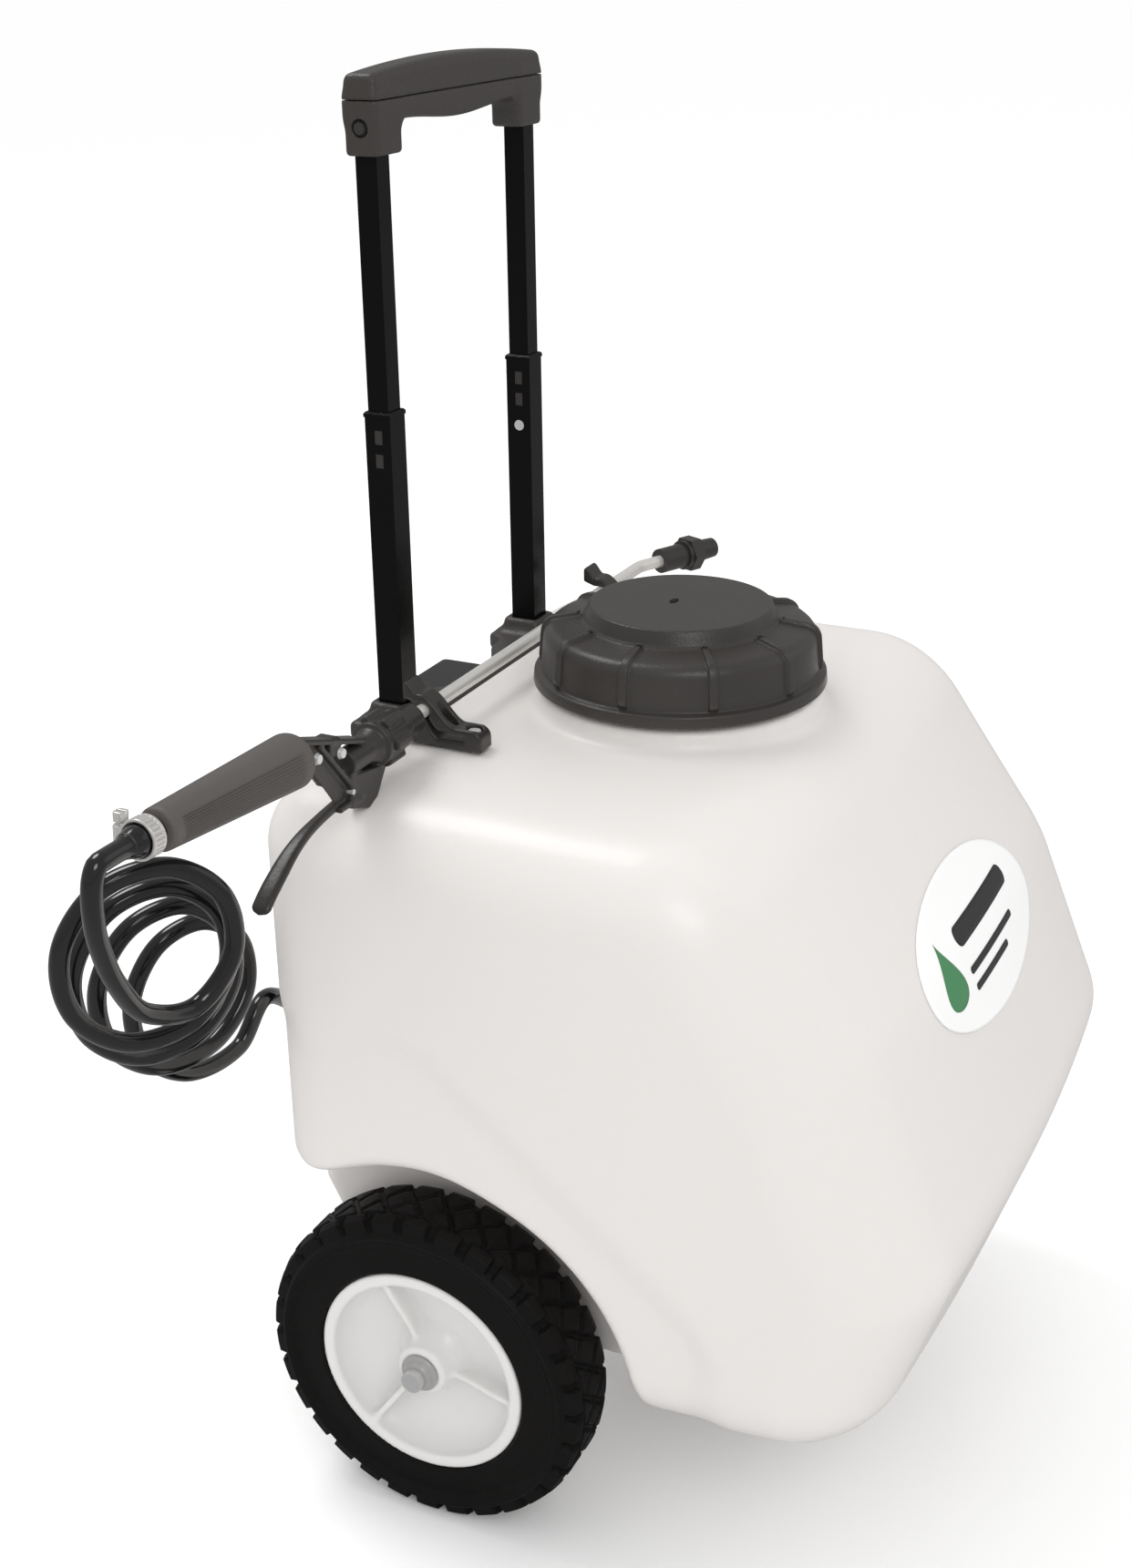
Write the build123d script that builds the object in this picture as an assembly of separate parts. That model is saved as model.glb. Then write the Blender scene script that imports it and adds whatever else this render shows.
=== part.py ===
from build123d import *
from math import cos, pi, radians, sin
import os

# Wheeled sprayer cart: a moulded tank on two wheels, a telescoping handle, a 12 V pump and a hand wand.
# Millimetres. +X runs along the axle to the right wheel, -Y is the front of the tank, +Y the handle side and
# +Z is up. The functions work from the ground under the middle of the axle; the last lines move every part so
# that the origin is the middle of the foot pad's rest face.

# ---------------------------------------------------------------- driving dimensions
WHEEL_R = 101.6            # 8 inch tyre
TYRE_W = 44.0
LUGS = 30
WHEEL_FACE_X = 215.0       # outer face of the wheel rim
HUB_R = 65.0
AXLE_R = 6.35              # half inch axle
AXLE_Z = WHEEL_R
AXLE_HALF = 225.0
RUNNING = 0.05             # running clearance of shafts and slides

TANK_HALF_X = 215.0
TANK_BOTTOM = 110.0
TANK_TOP = 452.0
TANK_BACK = 97.0
NOSE_Y, NOSE_Z = -302.0, 228.0
WALL = 5.0
WELL_R = 124.0             # wheel arch in the tank
WELL_Y, WELL_Z = -8.0, 108.0
WELL_X = 160.0             # inner wall of the wheel arch
WELL_BACK_TOP = 210.0      # underside of the tank's lower corners behind the wheels
RECESS_X = 108.0           # half width of the equipment recess in the tank's back
RECESS_Y = 42.0
RECESS_FLOOR = 182.0

LID_Y = -68.0
LID_FLANGE_R = 84.7
LID_WALL_R = 79.5
LID_Z = 466.3              # underside of the lid's flange
LID_SHOULDER = 33.0
LID_HEIGHT = 45.0
LID_DISC_R = 52.4
NECK_R = 73.0
NECK_BORE_R = 66.0
NECK_TOP = 492.0
GASKET = 3.3

POST_X = 83.0              # handle tubes, from the middle plane
POST_Y = 72.0
GUIDE_SIDE, MID_SIDE, TOP_SIDE = 19.05, 15.875, 12.7
SOCKET_TOP = 460.0
MID_TOP = 627.0
MID_LENGTH = 250.0
GRIP_BOTTOM = 760.0
GRIP_PARTING = 787.6
GRIP_TOP = 801.0
GRIP_HALF_X = 95.0
GRIP_LEG_X = 66.0          # inner face of a grip leg
GRIP_DEPTH = 22.0

WAND_Y, WAND_Z = 33.5, 471.6
WAND_R = 3.97              # 5/16 inch tube
CLIP_X = 115.0
CLIP_THICK = 14.0
CLIP_SCREW_Y = 5.0
NUT_X = -158.0
VALVE_X = -200.0
GRIP_START = Vector(-248.0, 33.5, 491.0)
GRIP_END = Vector(-361.0, 33.5, 498.5)
TRIGGER_PIVOT = Vector(-205.0, 33.5, 457.0)
WAND_BEND = 24.0           # degrees, towards the front
BEND_X = 170.0

HOSE_R = 5.0
COIL_R = 43.0
COIL_START = Vector(-355.0, 44.0, 442.0)      # middle of the first ring
COIL_DRIFT = Vector(2.0, 12.0, -14.0)         # how each ring hangs away from the one before
COIL_PULL = Vector(7.0, 1.9, -3.5)            # and how that grows towards the tank
COIL_FACING, COIL_TWIST = -39.0, 5.0          # degrees, heading of a ring's sideways direction
FIRST_TURN, LAST_TURN = 0.575, 4.7
LEAD_IN = (                                   # steps from the gun's hose end down into the first ring
    (-1.2, 0, 0), (-6.6, 0.3, -1.2), (-9.8, 1.2, -10), (-8.8, 3, -25),
    (-3.6, 6, -42), (9, 9.5, -68), (31, 12.5, -95),
)
SCREW_R = 2.5

LOW = (Align.CENTER, Align.CENTER, Align.MIN)


# ---------------------------------------------------------------- small helpers
def block(x0, x1, y0, y1, z0, z1):
    """A box between two corners."""
    return Pos((x0 + x1) / 2, (y0 + y1) / 2, (z0 + z1) / 2) * Box(x1 - x0, y1 - y0, z1 - z0)


def rod(start, end, radius, end_radius=None):
    """A round bar, or a cone, between two points."""
    start, end = Vector(*start), Vector(*end)
    span = end - start
    seat = Plane(origin=start, z_dir=span)
    if end_radius is None:
        return seat * Cylinder(radius, span.length, align=LOW)
    return seat * Cone(radius, end_radius, span.length, align=LOW)


def pipe(start, end, radius, bore):
    """A round tube between two points."""
    return rod(start, end, radius) - rod(start, end, bore)


def square_tube(x, z0, z1, outer, inner):
    """A square tube of the handle, standing at the posts' line."""
    wall = Box(outer, outer, z1 - z0, align=LOW) - Box(inner, inner, z1 - z0, align=LOW)
    return Pos(x, POST_Y, z0) * wall


def outline(corners):
    """A closed face in the YZ plane from (y, z, radius) corners."""
    face = make_face(Polyline(*[(y, z) for y, z, _ in corners], close=True))
    for y, z, radius in corners:
        if radius:
            corner = face.vertices().sort_by_distance(Vector(y, z, 0))[0]
            face = fillet(corner, radius)
    return Plane.YZ * face


def slab(corners, x0, x1):
    """An outline given a thickness along X."""
    return Pos(x0, 0, 0) * extrude(outline(corners), x1 - x0)


def both(make):
    """The same piece on the left (-X) and on the right."""
    return Compound(children=[make(-1), make(1)])


def group(*solids):
    """Separate solids that share one node."""
    return Compound(children=list(solids))


def pan_screw(seat, direction, length, radius=SCREW_R, head=4.5):
    """A pan-head screw: the head stands on seat and the shank runs along direction."""
    seat, direction = Vector(*seat), Vector(*direction).normalized()
    shank = rod(seat, seat + direction * length, radius)
    cap = rod(seat - direction * 2.5, seat, head * 0.75, head)
    return cap + shank


def sweep_round(points, radius):
    """A round hose or wire along a smooth curve."""
    path = Spline(*points)
    section = Plane(origin=path @ 0, z_dir=path % 0) * Circle(radius)
    return sweep(section, path=path)


# ---------------------------------------------------------------- tank
# stations across the tank: distance from the middle and how far front, top, back and bottom draw in there
STATIONS = (
    (0, 0, 0, 0, 0),
    (110, 6, 2, 1, 1),
    (165, 15, 7, 4, 6),
    (198, 28, 19, 13, 19),
    (215, 62, 44, 38, 48),
)


def tank_section(x, front, top, back, bottom, inset):
    """One slice of the tank at x."""
    f, t, b, u = front + inset, top + inset, back + inset, bottom + inset
    corners = [
        (-262 + 0.8 * f, TANK_BOTTOM + u, 56 - 0.5 * inset),
        (NOSE_Y + f, NOSE_Z, 46 - 0.5 * inset),
        (-256 + 0.9 * f, 340 - 0.25 * f, 120),
        (-172 + 0.6 * f, TANK_TOP - t, 80 - 0.5 * inset),
        (TANK_BACK - b, TANK_TOP - t, 32 - 0.5 * inset),
        (TANK_BACK - b, 178, 14),
        (62 - b, TANK_BOTTOM + u, 14),
    ]
    return Pos(x, 0, 0) * outline(corners)


def tank_body(inset):
    """The tank's outer form, drawn in by inset on every side."""
    scale = (TANK_HALF_X - inset) / TANK_HALF_X
    left = [tank_section(-x * scale, f, t, b, u, inset) for x, f, t, b, u in reversed(STATIONS[1:])]
    right = [tank_section(x * scale, f, t, b, u, inset) for x, f, t, b, u in STATIONS]
    return loft(left + right)


def wheel_wells(grow):
    """The room the wheels take out of the tank's lower sides."""
    start, end = WELL_X - grow, TANK_HALF_X + 20
    arch = rod((start, WELL_Y, WELL_Z), (end, WELL_Y, WELL_Z), WELL_R + grow)
    behind = block(start, end, 0, TANK_BACK + 60, 50, WELL_BACK_TOP + grow)
    one = arch + behind
    return one + mirror(one, Plane.YZ)


def equipment_recess(grow):
    """The open bay in the tank's back for pump, battery and handle guides."""
    bay = block(-RECESS_X - grow, RECESS_X + grow, RECESS_Y - grow, 200, RECESS_FLOOR - grow, 700)
    return fillet(bay.edges().filter_by(Axis.Z).group_by(Axis.Y)[0], 12)


def leg_screw_spots():
    return [(x, y) for x in (-29, 29) for y in (-165, -115)]


def saddle_screw_spots():
    return [(side * 122, y) for side in (-1, 1) for y in (-19, 19)]


def clip_screw_spots():
    return [(side * CLIP_X, CLIP_SCREW_Y) for side in (-1, 1)]


def bracket_screw_spots():
    return [(x, z) for x in (-62, 62) for z in (205, 330)]


def screw_bosses():
    """Solid lands moulded into the wall wherever a screw bites."""
    lands = [rod((x, y, TANK_BOTTOM - 1), (x, y, TANK_BOTTOM + 18), 9)
             for x, y in leg_screw_spots() + saddle_screw_spots()]
    lands += [rod((x, y, TANK_TOP - 22), (x, y, TANK_TOP + 1), 9) for x, y in clip_screw_spots()]
    lands += [rod((x, RECESS_Y - 18, z), (x, RECESS_Y, z), 9) for x, z in bracket_screw_spots()]
    lands += [rod((x, RECESS_Y - 18, 430), (x, RECESS_Y, 430), 9) for x in (-45, 45)]
    return lands


def screw_pilots():
    """Blind holes that the screws fill."""
    holes = [rod((x, y, TANK_BOTTOM - 3), (x, y, TANK_BOTTOM + 14), SCREW_R)
             for x, y in leg_screw_spots() + saddle_screw_spots()]
    holes += [rod((x, y, TANK_TOP - 14), (x, y, TANK_TOP + 3), SCREW_R) for x, y in clip_screw_spots()]
    holes += [rod((x, RECESS_Y - 14, z), (x, RECESS_Y + 3, z), SCREW_R) for x, z in bracket_screw_spots()]
    holes += [rod((x, RECESS_Y - 14, 430), (x, RECESS_Y + 3, 430), SCREW_R) for x in (-45, 45)]
    return holes


SUCTION_X, SUCTION_Z = 40.0, 226.0


def tank_shell():
    outer = tank_body(0) - wheel_wells(0) - equipment_recess(0)
    inner = tank_body(WALL) - wheel_wells(WALL) - equipment_recess(WALL)
    shell = outer - inner
    for land in screw_bosses():
        shell += land & outer
    shell += rod((0, LID_Y, TANK_TOP - 6), (0, LID_Y, LID_Z - 3), 82)
    shell += rod((0, LID_Y, LID_Z - 4), (0, LID_Y, NECK_TOP), NECK_R)
    shell -= rod((0, LID_Y, TANK_TOP - 40), (0, LID_Y, NECK_TOP + 5), NECK_BORE_R)
    for hole in screw_pilots():
        shell -= hole
    shell -= rod((SUCTION_X, RECESS_Y - 10, SUCTION_Z), (SUCTION_X, RECESS_Y + 5, SUCTION_Z), 8)
    return shell


LABEL_X, LABEL_UP = 102.0, 46.0


def label():
    """An oval sticker that follows the crowned front face."""
    skin = tank_body(-0.5) - tank_body(0)
    middle = Vector(0, -270, 330)
    seat = Plane(origin=middle, x_dir=(1, 0, 0), z_dir=(0, -cos(radians(28)), sin(radians(28))))
    return skin & (seat * extrude(Ellipse(LABEL_X, LABEL_UP), 60, both=True))


# ---------------------------------------------------------------- lid
def lid():
    base = LID_Z
    top = base + LID_HEIGHT
    shoulder = base + LID_SHOULDER
    half = [(0, top), (LID_DISC_R, top), (LID_DISC_R + 3, shoulder + 1.5), (LID_WALL_R - 7, shoulder),
            (LID_WALL_R, shoulder - 7), (LID_WALL_R, base + 6), (LID_FLANGE_R, base + 6),
            (LID_FLANGE_R, base), (NECK_R + 1.5, base), (NECK_R + 1.5, NECK_TOP + GASKET),
            (LID_DISC_R - 2, NECK_TOP + GASKET), (LID_DISC_R - 5, top - 4), (0, top - 4)]
    body = revolve(Plane.XZ * make_face(Polyline(*half, close=True)), Axis.Z)
    ribs = [Rot(0, 0, 36 * i) * block(LID_WALL_R - 2, LID_WALL_R + 2.6, -2.5, 2.5, base + 5, shoulder - 5)
            for i in range(10)]
    for rib in ribs:
        body += rib
    body -= rod((0, 0, top - 8), (0, 0, top + 1), 2)
    return Pos(0, LID_Y, 0) * body


def lid_gasket():
    return pipe((0, LID_Y, NECK_TOP), (0, LID_Y, NECK_TOP + GASKET), NECK_R, NECK_BORE_R)


# ---------------------------------------------------------------- wheels and axle
def wheel_hub(side):
    """A dished plastic hub with three ribs, turning on the axle."""
    outer, inner = WHEEL_FACE_X, WHEEL_FACE_X - TYRE_W
    rim = pipe((inner, 0, 0), (outer, 0, 0), HUB_R - 0.02, HUB_R - 6)
    web = pipe((outer - 26, 0, 0), (outer - 21, 0, 0), HUB_R - 5, 10)
    boss = pipe((inner, 0, 0), (outer + 1, 0, 0), 15, AXLE_R + RUNNING)
    hub = rim + web + boss
    for i in range(3):
        rib = Rot(90 + 120 * i, 0, 0) * block(outer - 22, outer - 4, 13, HUB_R - 5, -2.2, 2.2)
        hub += rib
    hub = Pos(0, 0, AXLE_Z) * hub
    return hub if side > 0 else mirror(hub, Plane.YZ)


def tyre(side):
    """A semi-solid tyre pressed on the hub, with its side lugs."""
    outer, inner = WHEEL_FACE_X, WHEEL_FACE_X - TYRE_W
    half = [(inner, HUB_R), (inner, 90), (inner + 5, 98), (inner + 14, WHEEL_R), (outer - 14, WHEEL_R),
            (outer - 5, 98), (outer + 0.5, 92), (outer + 2.7, 90.5), (outer + 1, 88), (outer + 1, 67),
            (outer, HUB_R)]
    body = revolve(Plane.XY * make_face(Polyline(*half, close=True)), Axis.X)
    lug = block(outer - 6, outer + 1, -4, 4, 93, 99)
    for i in range(LUGS):
        body += Rot(360 / LUGS * i, 0, 0) * lug
    body = Pos(0, 0, AXLE_Z) * body
    return body if side > 0 else mirror(body, Plane.YZ)


def axle():
    return rod((-AXLE_HALF, 0, AXLE_Z), (AXLE_HALF, 0, AXLE_Z), AXLE_R)


def axle_washer(side):
    face = WHEEL_FACE_X + 1.3
    return pipe((side * face, 0, AXLE_Z), (side * (face + 1.6), 0, AXLE_Z), 10, AXLE_R)


def axle_cap(side):
    """A push nut with a domed cap over the axle's end."""
    start = side * (WHEEL_FACE_X + 3.2)
    end = side * (AXLE_HALF + 2)
    cap = rod((start, 0, AXLE_Z), (end, 0, AXLE_Z), 9)
    cap = fillet(cap.edges().sort_by(Axis.X)[-1 if side > 0 else 0], 2.5)
    return cap - rod((start, 0, AXLE_Z), (side * AXLE_HALF, 0, AXLE_Z), AXLE_R)


def axle_spacer(side):
    return pipe((side * 138, 0, AXLE_Z), (side * (WHEEL_FACE_X - TYRE_W - 0.4), 0, AXLE_Z), 10, AXLE_R)


def axle_saddle(side):
    """A saddle block under the tank that holds the axle."""
    saddle = block(side * 122 - 15, side * 122 + 15, -28, 28, AXLE_Z - 14, TANK_BOTTOM)
    saddle = fillet(saddle.edges().filter_by(Axis.X).group_by(Axis.Z)[0], 8)
    saddle -= rod((side * 100, 0, AXLE_Z), (side * 145, 0, AXLE_Z), AXLE_R)
    for x, y in saddle_screw_spots():
        if x * side > 0:
            saddle -= rod((x, y, AXLE_Z - 20), (x, y, TANK_BOTTOM + 1), SCREW_R)
    return saddle


def saddle_screws():
    return group(*[pan_screw((x, y, AXLE_Z - 14), (0, 0, 1), 34) for x, y in saddle_screw_spots()])


# ---------------------------------------------------------------- front leg
LEG_Y = -140.0
PAD_TOP = 14.0


def front_leg():
    """A moulded post that holds the tank level."""
    flange = block(-38, 38, LEG_Y - 34, LEG_Y + 34, TANK_BOTTOM - 6, TANK_BOTTOM)
    flange = fillet(flange.edges().filter_by(Axis.Z), 8)
    post = block(-20, 20, LEG_Y - 16, LEG_Y + 16, 6, TANK_BOTTOM - 6)
    post = fillet(post.edges().filter_by(Axis.Z), 6)
    leg = flange + post - block(-16, 16, LEG_Y - 12, LEG_Y + 12, -1, TANK_BOTTOM - 10)
    for x, y in leg_screw_spots():
        leg -= rod((x, y, 90), (x, y, TANK_BOTTOM + 1), SCREW_R)
    return leg


def leg_pad():
    """A rubber boot on the leg's foot: the face the cart rests on."""
    boot = block(-25, 25, LEG_Y - 21, LEG_Y + 21, 0, 22)
    boot = fillet(boot.edges().filter_by(Axis.Z), 8)
    pocket = block(-20, 20, LEG_Y - 16, LEG_Y + 16, 6, 30)
    return boot - fillet(pocket.edges().filter_by(Axis.Z), 6)


def leg_screws():
    return group(*[pan_screw((x, y, TANK_BOTTOM - 6), (0, 0, 1), 18) for x, y in leg_screw_spots()])


# ---------------------------------------------------------------- handle
BASE_FLOOR = 440.0
GUIDE_TOP = 448.0
GUIDE_BOTTOM = 190.0
GRIP_BORE_TOP = 784.0
GRIP_SCREW_Z = 774.0


def handle_base():
    """The moulding that caps the recess and guides both posts."""
    bridge = block(-RECESS_X + 0.5, RECESS_X - 0.5, RECESS_Y + 0.5, TANK_BACK, BASE_FLOOR, TANK_TOP)
    bridge = fillet(bridge.edges().filter_by(Axis.Z), 11)
    waist = Polyline((-62, TANK_BACK + 1), (-57, 82), (-44, 79), (-28, 70), (28, 70), (44, 79), (57, 82),
                     (62, TANK_BACK + 1), close=True)
    bridge -= Pos(0, 0, BASE_FLOOR - 1) * extrude(make_face(waist), TANK_TOP - BASE_FLOOR + 2)
    for side in (-1, 1):
        x = side * POST_X
        socket = block(x - 14, x + 14, POST_Y - 14, POST_Y + 14, 412, SOCKET_TOP)
        bridge += fillet(socket.edges().filter_by(Axis.Z), 4)
    bridge += block(-60, 60, RECESS_Y + 0.5, RECESS_Y + 4, 420, BASE_FLOOR)
    for side in (-1, 1):
        x = side * POST_X
        bridge -= Pos(x, POST_Y, 400) * Box(GUIDE_SIDE, GUIDE_SIDE, GUIDE_TOP - 400, align=LOW)
        bridge -= Pos(x, POST_Y, 400) * Box(MID_SIDE + 2 * RUNNING, MID_SIDE + 2 * RUNNING, 100, align=LOW)
        bridge -= rod((x, POST_Y, 426), (x, POST_Y + 30, 426), 2)
        bridge -= rod((side * 45, RECESS_Y - 5, 430), (side * 45, RECESS_Y + 10, 430), SCREW_R)
    return bridge


def base_screws():
    """Two screws into the tank and one into each guide tube."""
    front = [pan_screw((x, RECESS_Y + 4, 430), (0, -1, 0), 17) for x in (-45, 45)]
    back = [pan_screw((x, POST_Y + 14, 426), (0, -1, 0), 6, radius=2, head=3.6) for x in (-POST_X, POST_X)]
    return group(*front, *back)


def guide_tube(side):
    x = side * POST_X
    tube = square_tube(x, GUIDE_BOTTOM, GUIDE_TOP, GUIDE_SIDE, MID_SIDE + 2 * RUNNING)
    return tube - rod((x, POST_Y, 426), (x, POST_Y + 12, 426), 2)


MID_BOTTOM = MID_TOP - 3 - MID_LENGTH
MID_BORE = 13.1
UPPER_BOTTOM = 556.0
WINDOW_DROPS = (14.0, 27.0)        # latch windows and screw, below the collar
MID_SCREW_DROP = 43.0


def mid_tube(side):
    x = side * POST_X
    tube = square_tube(x, MID_BOTTOM, MID_TOP - 3, MID_SIDE, MID_BORE)
    for drop in WINDOW_DROPS:
        tube -= Pos(x, POST_Y, MID_TOP - drop) * Box(MID_SIDE + 2, 5.2, 8)
    return tube - mid_screw(side)


def mid_collar(side):
    """A bevelled guide collar plugged into the middle tube's top."""
    x = side * POST_X
    cap = Pos(x, POST_Y, MID_TOP - 3) * Box(MID_SIDE + 1, MID_SIDE + 1, 3, align=LOW)
    cap = chamfer(cap.edges().group_by(Axis.Z)[-1], 1)
    bore = TOP_SIDE + 2 * RUNNING
    return cap - Pos(x, POST_Y, MID_TOP - 4) * Box(bore, bore, 6, align=LOW)


def latch_insert(side):
    """Plastic latch keys seen in the windows of a middle tube, two on each face."""
    walls = [side * POST_X + face * (MID_SIDE / 2 - 0.9) for face in (-1, 1)]
    return [Pos(x, POST_Y, MID_TOP - drop) * Box(0.9, 5, 7.8) for x in walls for drop in WINDOW_DROPS]


def mid_screw(side):
    """The flush screw head in a middle tube's inner face."""
    x, z = side * (POST_X - MID_SIDE / 2), MID_TOP - MID_SCREW_DROP
    return rod((x, POST_Y, z), (x + side * 1.3, POST_Y, z), 3.2, 2.2)


def upper_tube(side):
    x = side * POST_X
    tube = square_tube(x, UPPER_BOTTOM, GRIP_BORE_TOP, TOP_SIDE, TOP_SIDE - 2.4)
    return tube - rod((x, POST_Y, GRIP_SCREW_Z), (x + side * 20, POST_Y, GRIP_SCREW_Z), 2)


def upper_plug(side):
    """A plastic foot that guides the upper tube inside the middle one."""
    x = side * POST_X
    foot = Pos(x, POST_Y, UPPER_BOTTOM - 10) * Box(MID_BORE - 0.1, MID_BORE - 0.1, 10, align=LOW)
    spigot = Pos(x, POST_Y, UPPER_BOTTOM) * Box(TOP_SIDE - 2.4, TOP_SIDE - 2.4, 18, align=LOW)
    return foot + spigot


def grip_lower():
    """Lower half of the grip, with a leg over each tube."""
    y0, y1 = POST_Y - GRIP_DEPTH / 2, POST_Y + GRIP_DEPTH / 2
    bar = block(-GRIP_HALF_X, GRIP_HALF_X, y0, y1, 776, GRIP_PARTING)
    body = bar + block(-GRIP_HALF_X, -GRIP_LEG_X, y0, y1, GRIP_BOTTOM, 780)
    body += block(GRIP_LEG_X, GRIP_HALF_X, y0, y1, GRIP_BOTTOM, 780)
    body = fillet(body.edges().filter_by(Axis.Z), 4)
    for side in (-1, 1):
        x = side * POST_X
        body -= Pos(x, POST_Y, 750) * Box(TOP_SIDE, TOP_SIDE, GRIP_BORE_TOP - 750, align=LOW)
        body -= rod((x, POST_Y, GRIP_SCREW_Z), (x + side * 20, POST_Y, GRIP_SCREW_Z), 2)
        body -= rod((x + side * 10, POST_Y, GRIP_SCREW_Z), (x + side * 20, POST_Y, GRIP_SCREW_Z), 4)
    return body


def grip_upper():
    """Upper half of the grip, a low arch that meets the lower half in a parting line."""
    y0, y1 = POST_Y - GRIP_DEPTH / 2, POST_Y + GRIP_DEPTH / 2
    arch = ThreePointArc((-GRIP_HALF_X, GRIP_TOP - 3), (0, GRIP_TOP + 4.5), (GRIP_HALF_X, GRIP_TOP - 3))
    sides = Polyline((GRIP_HALF_X, GRIP_TOP - 3), (GRIP_HALF_X, GRIP_PARTING), (-GRIP_HALF_X, GRIP_PARTING),
                     (-GRIP_HALF_X, GRIP_TOP - 3))
    body = Pos(0, y1, 0) * extrude(Plane.XZ * make_face(arch + sides), y1 - y0)
    upright = body.edges().filter_by(Axis.Z)
    body = fillet(upright, 4)
    return fillet(body.edges().group_by(Axis.Z)[-1], 3)


def grip_screw(side):
    x = side * (POST_X + 10)
    wall = side * (POST_X + TOP_SIDE / 2 - 1.2)
    head = rod((x, POST_Y, GRIP_SCREW_Z), (x + side * 1.8, POST_Y, GRIP_SCREW_Z), 3.8, 3)
    return head + rod((wall, POST_Y, GRIP_SCREW_Z), (x, POST_Y, GRIP_SCREW_Z), 2)


# ---------------------------------------------------------------- wand clips
def wand_clip(side):
    """A hook over the wand on a screwed-down foot: it springs open and lets the wand out backwards."""
    x = side * CLIP_X
    throat = WAND_R + 0.15
    foot_top = TANK_TOP + 12
    crest = WAND_Z + 9
    profile = [(-2, TANK_TOP, 0), (-2, foot_top, 5), (15, foot_top, 9), (28, crest, 6), (38, crest, 2),
               (43, crest + 5, 0), (45.5, crest + 2.5, 0), (41, WAND_Z + throat, 0), (41, WAND_Z - throat, 0),
               (46, WAND_Z - throat - 3, 0), (46, TANK_TOP, 0)]
    clip = slab(profile, x - CLIP_THICK / 2, x + CLIP_THICK / 2)
    clip -= rod((x - 20, WAND_Y, WAND_Z), (x + 20, WAND_Y, WAND_Z), throat)
    clip -= block(x - 20, x + 20, WAND_Y, 60, WAND_Z - throat, WAND_Z + throat)
    clip -= slab([(13, TANK_TOP + 5, 0), (13, TANK_TOP + 9, 0), (24, TANK_TOP + 9, 0), (29, WAND_Z, 0),
                  (33, WAND_Z - 5, 0), (26, TANK_TOP + 5, 0)], x - 20, x + 20)
    clip -= rod((x, CLIP_SCREW_Y, TANK_TOP - 1), (x, CLIP_SCREW_Y, TANK_TOP + 20), SCREW_R)
    clip -= rod((x, CLIP_SCREW_Y, TANK_TOP + 8), (x, CLIP_SCREW_Y, TANK_TOP + 20), 4.6)
    return clip


def clip_screws():
    return group(*[pan_screw((x, y, TANK_TOP + 8), (0, 0, -1), 22) for x, y in clip_screw_spots()])


# ---------------------------------------------------------------- spray gun and wand
STEM_X0, STEM_X1 = -201.0, -188.0
BODY_R = 8.5
GUN_CORE_R = 7.5
WEB = 10.0                 # width of the gun's bracket
BARB_END = Vector(-383.0, 33.5, 500.0)


def gun_core():
    """The core tube under the grip, tapering to the hose barb."""
    return rod(GRIP_START + Vector(4, 0, 0), BARB_END, GUN_CORE_R, 6.0)


def gun_body():
    """Valve body, bracket web and the core tube that carries the grip."""
    barrel = rod((VALVE_X, WAND_Y, WAND_Z), (NUT_X - 4, WAND_Y, WAND_Z), BODY_R)
    rear = GRIP_START.X + 0.9
    side = Polyline((rear, 501), (-189, 483), (-189, 462), (-174, 458), (-184, 445), (-208, 446), (-224, 462),
                    (rear, 480), close=True)
    web = Pos(0, WAND_Y + WEB / 2, 0) * extrude(Plane.XZ * make_face(side), WEB)
    body = barrel + web + gun_core()
    body -= rod((VALVE_X - 16, WAND_Y, WAND_Z), (NUT_X, WAND_Y, WAND_Z), 4.2)
    body -= block(-240, -195.4, WAND_Y - 3.2, WAND_Y + 3.2, 440, 477)
    body -= rod(TRIGGER_PIVOT - Vector(0, 10, 0), TRIGGER_PIVOT + Vector(0, 10, 0), 1.5)
    return body


def gun_grip():
    """A ribbed, tapered rubber sleeve."""
    axis = (GRIP_END - GRIP_START).normalized()
    sleeve = rod(GRIP_START, GRIP_END, 14.8, 10.6)
    sleeve = fillet(sleeve.edges().sort_by(Axis.X)[-1], 4)
    return sleeve - gun_core() - rod(GRIP_END - axis, GRIP_END + axis, 6.4)


def gun_screws():
    """Two screws that close the bracket web."""
    spots = ((-236, 487), (-214, 482))
    return group(*[rod((x, WAND_Y - 7, z), (x, WAND_Y - 5, z), 2.4, 3.2) for x, z in spots])


def trigger():
    """The lever: a ring on the pivot and a curved finger blade."""
    path = Spline((-205, 457), (-232, 449), (-262, 442), (-289, 424))
    strip = [path @ (i / 8) for i in range(9)]
    upper = [(p.X, p.Y + 3.0 - 1.4 * i / 8) for i, p in enumerate(strip)]
    lower = [(p.X, p.Y - 3.0 + 1.4 * i / 8) for i, p in enumerate(strip)]
    edge = Spline(*upper) + Line(upper[-1], lower[-1]) + Spline(*lower[::-1]) + Line(lower[0], upper[0])
    blade = Pos(0, WAND_Y + 3, 0) * extrude(Plane.XZ * make_face(edge), 6)
    ring = rod((-205, WAND_Y - 3, 457), (-205, WAND_Y + 3, 457), 4.5)
    horn = block(-206, STEM_X0 - 0.05, WAND_Y - 2.5, WAND_Y + 2.5, 457, 474)
    lever = blade + ring + horn
    return lever - rod((-205, WAND_Y - 5, 457), (-205, WAND_Y + 5, 457), 1.5 + RUNNING)


def trigger_pin():
    return rod(TRIGGER_PIVOT - Vector(0, 6, 0), TRIGGER_PIVOT + Vector(0, 6, 0), 1.5)


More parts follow.
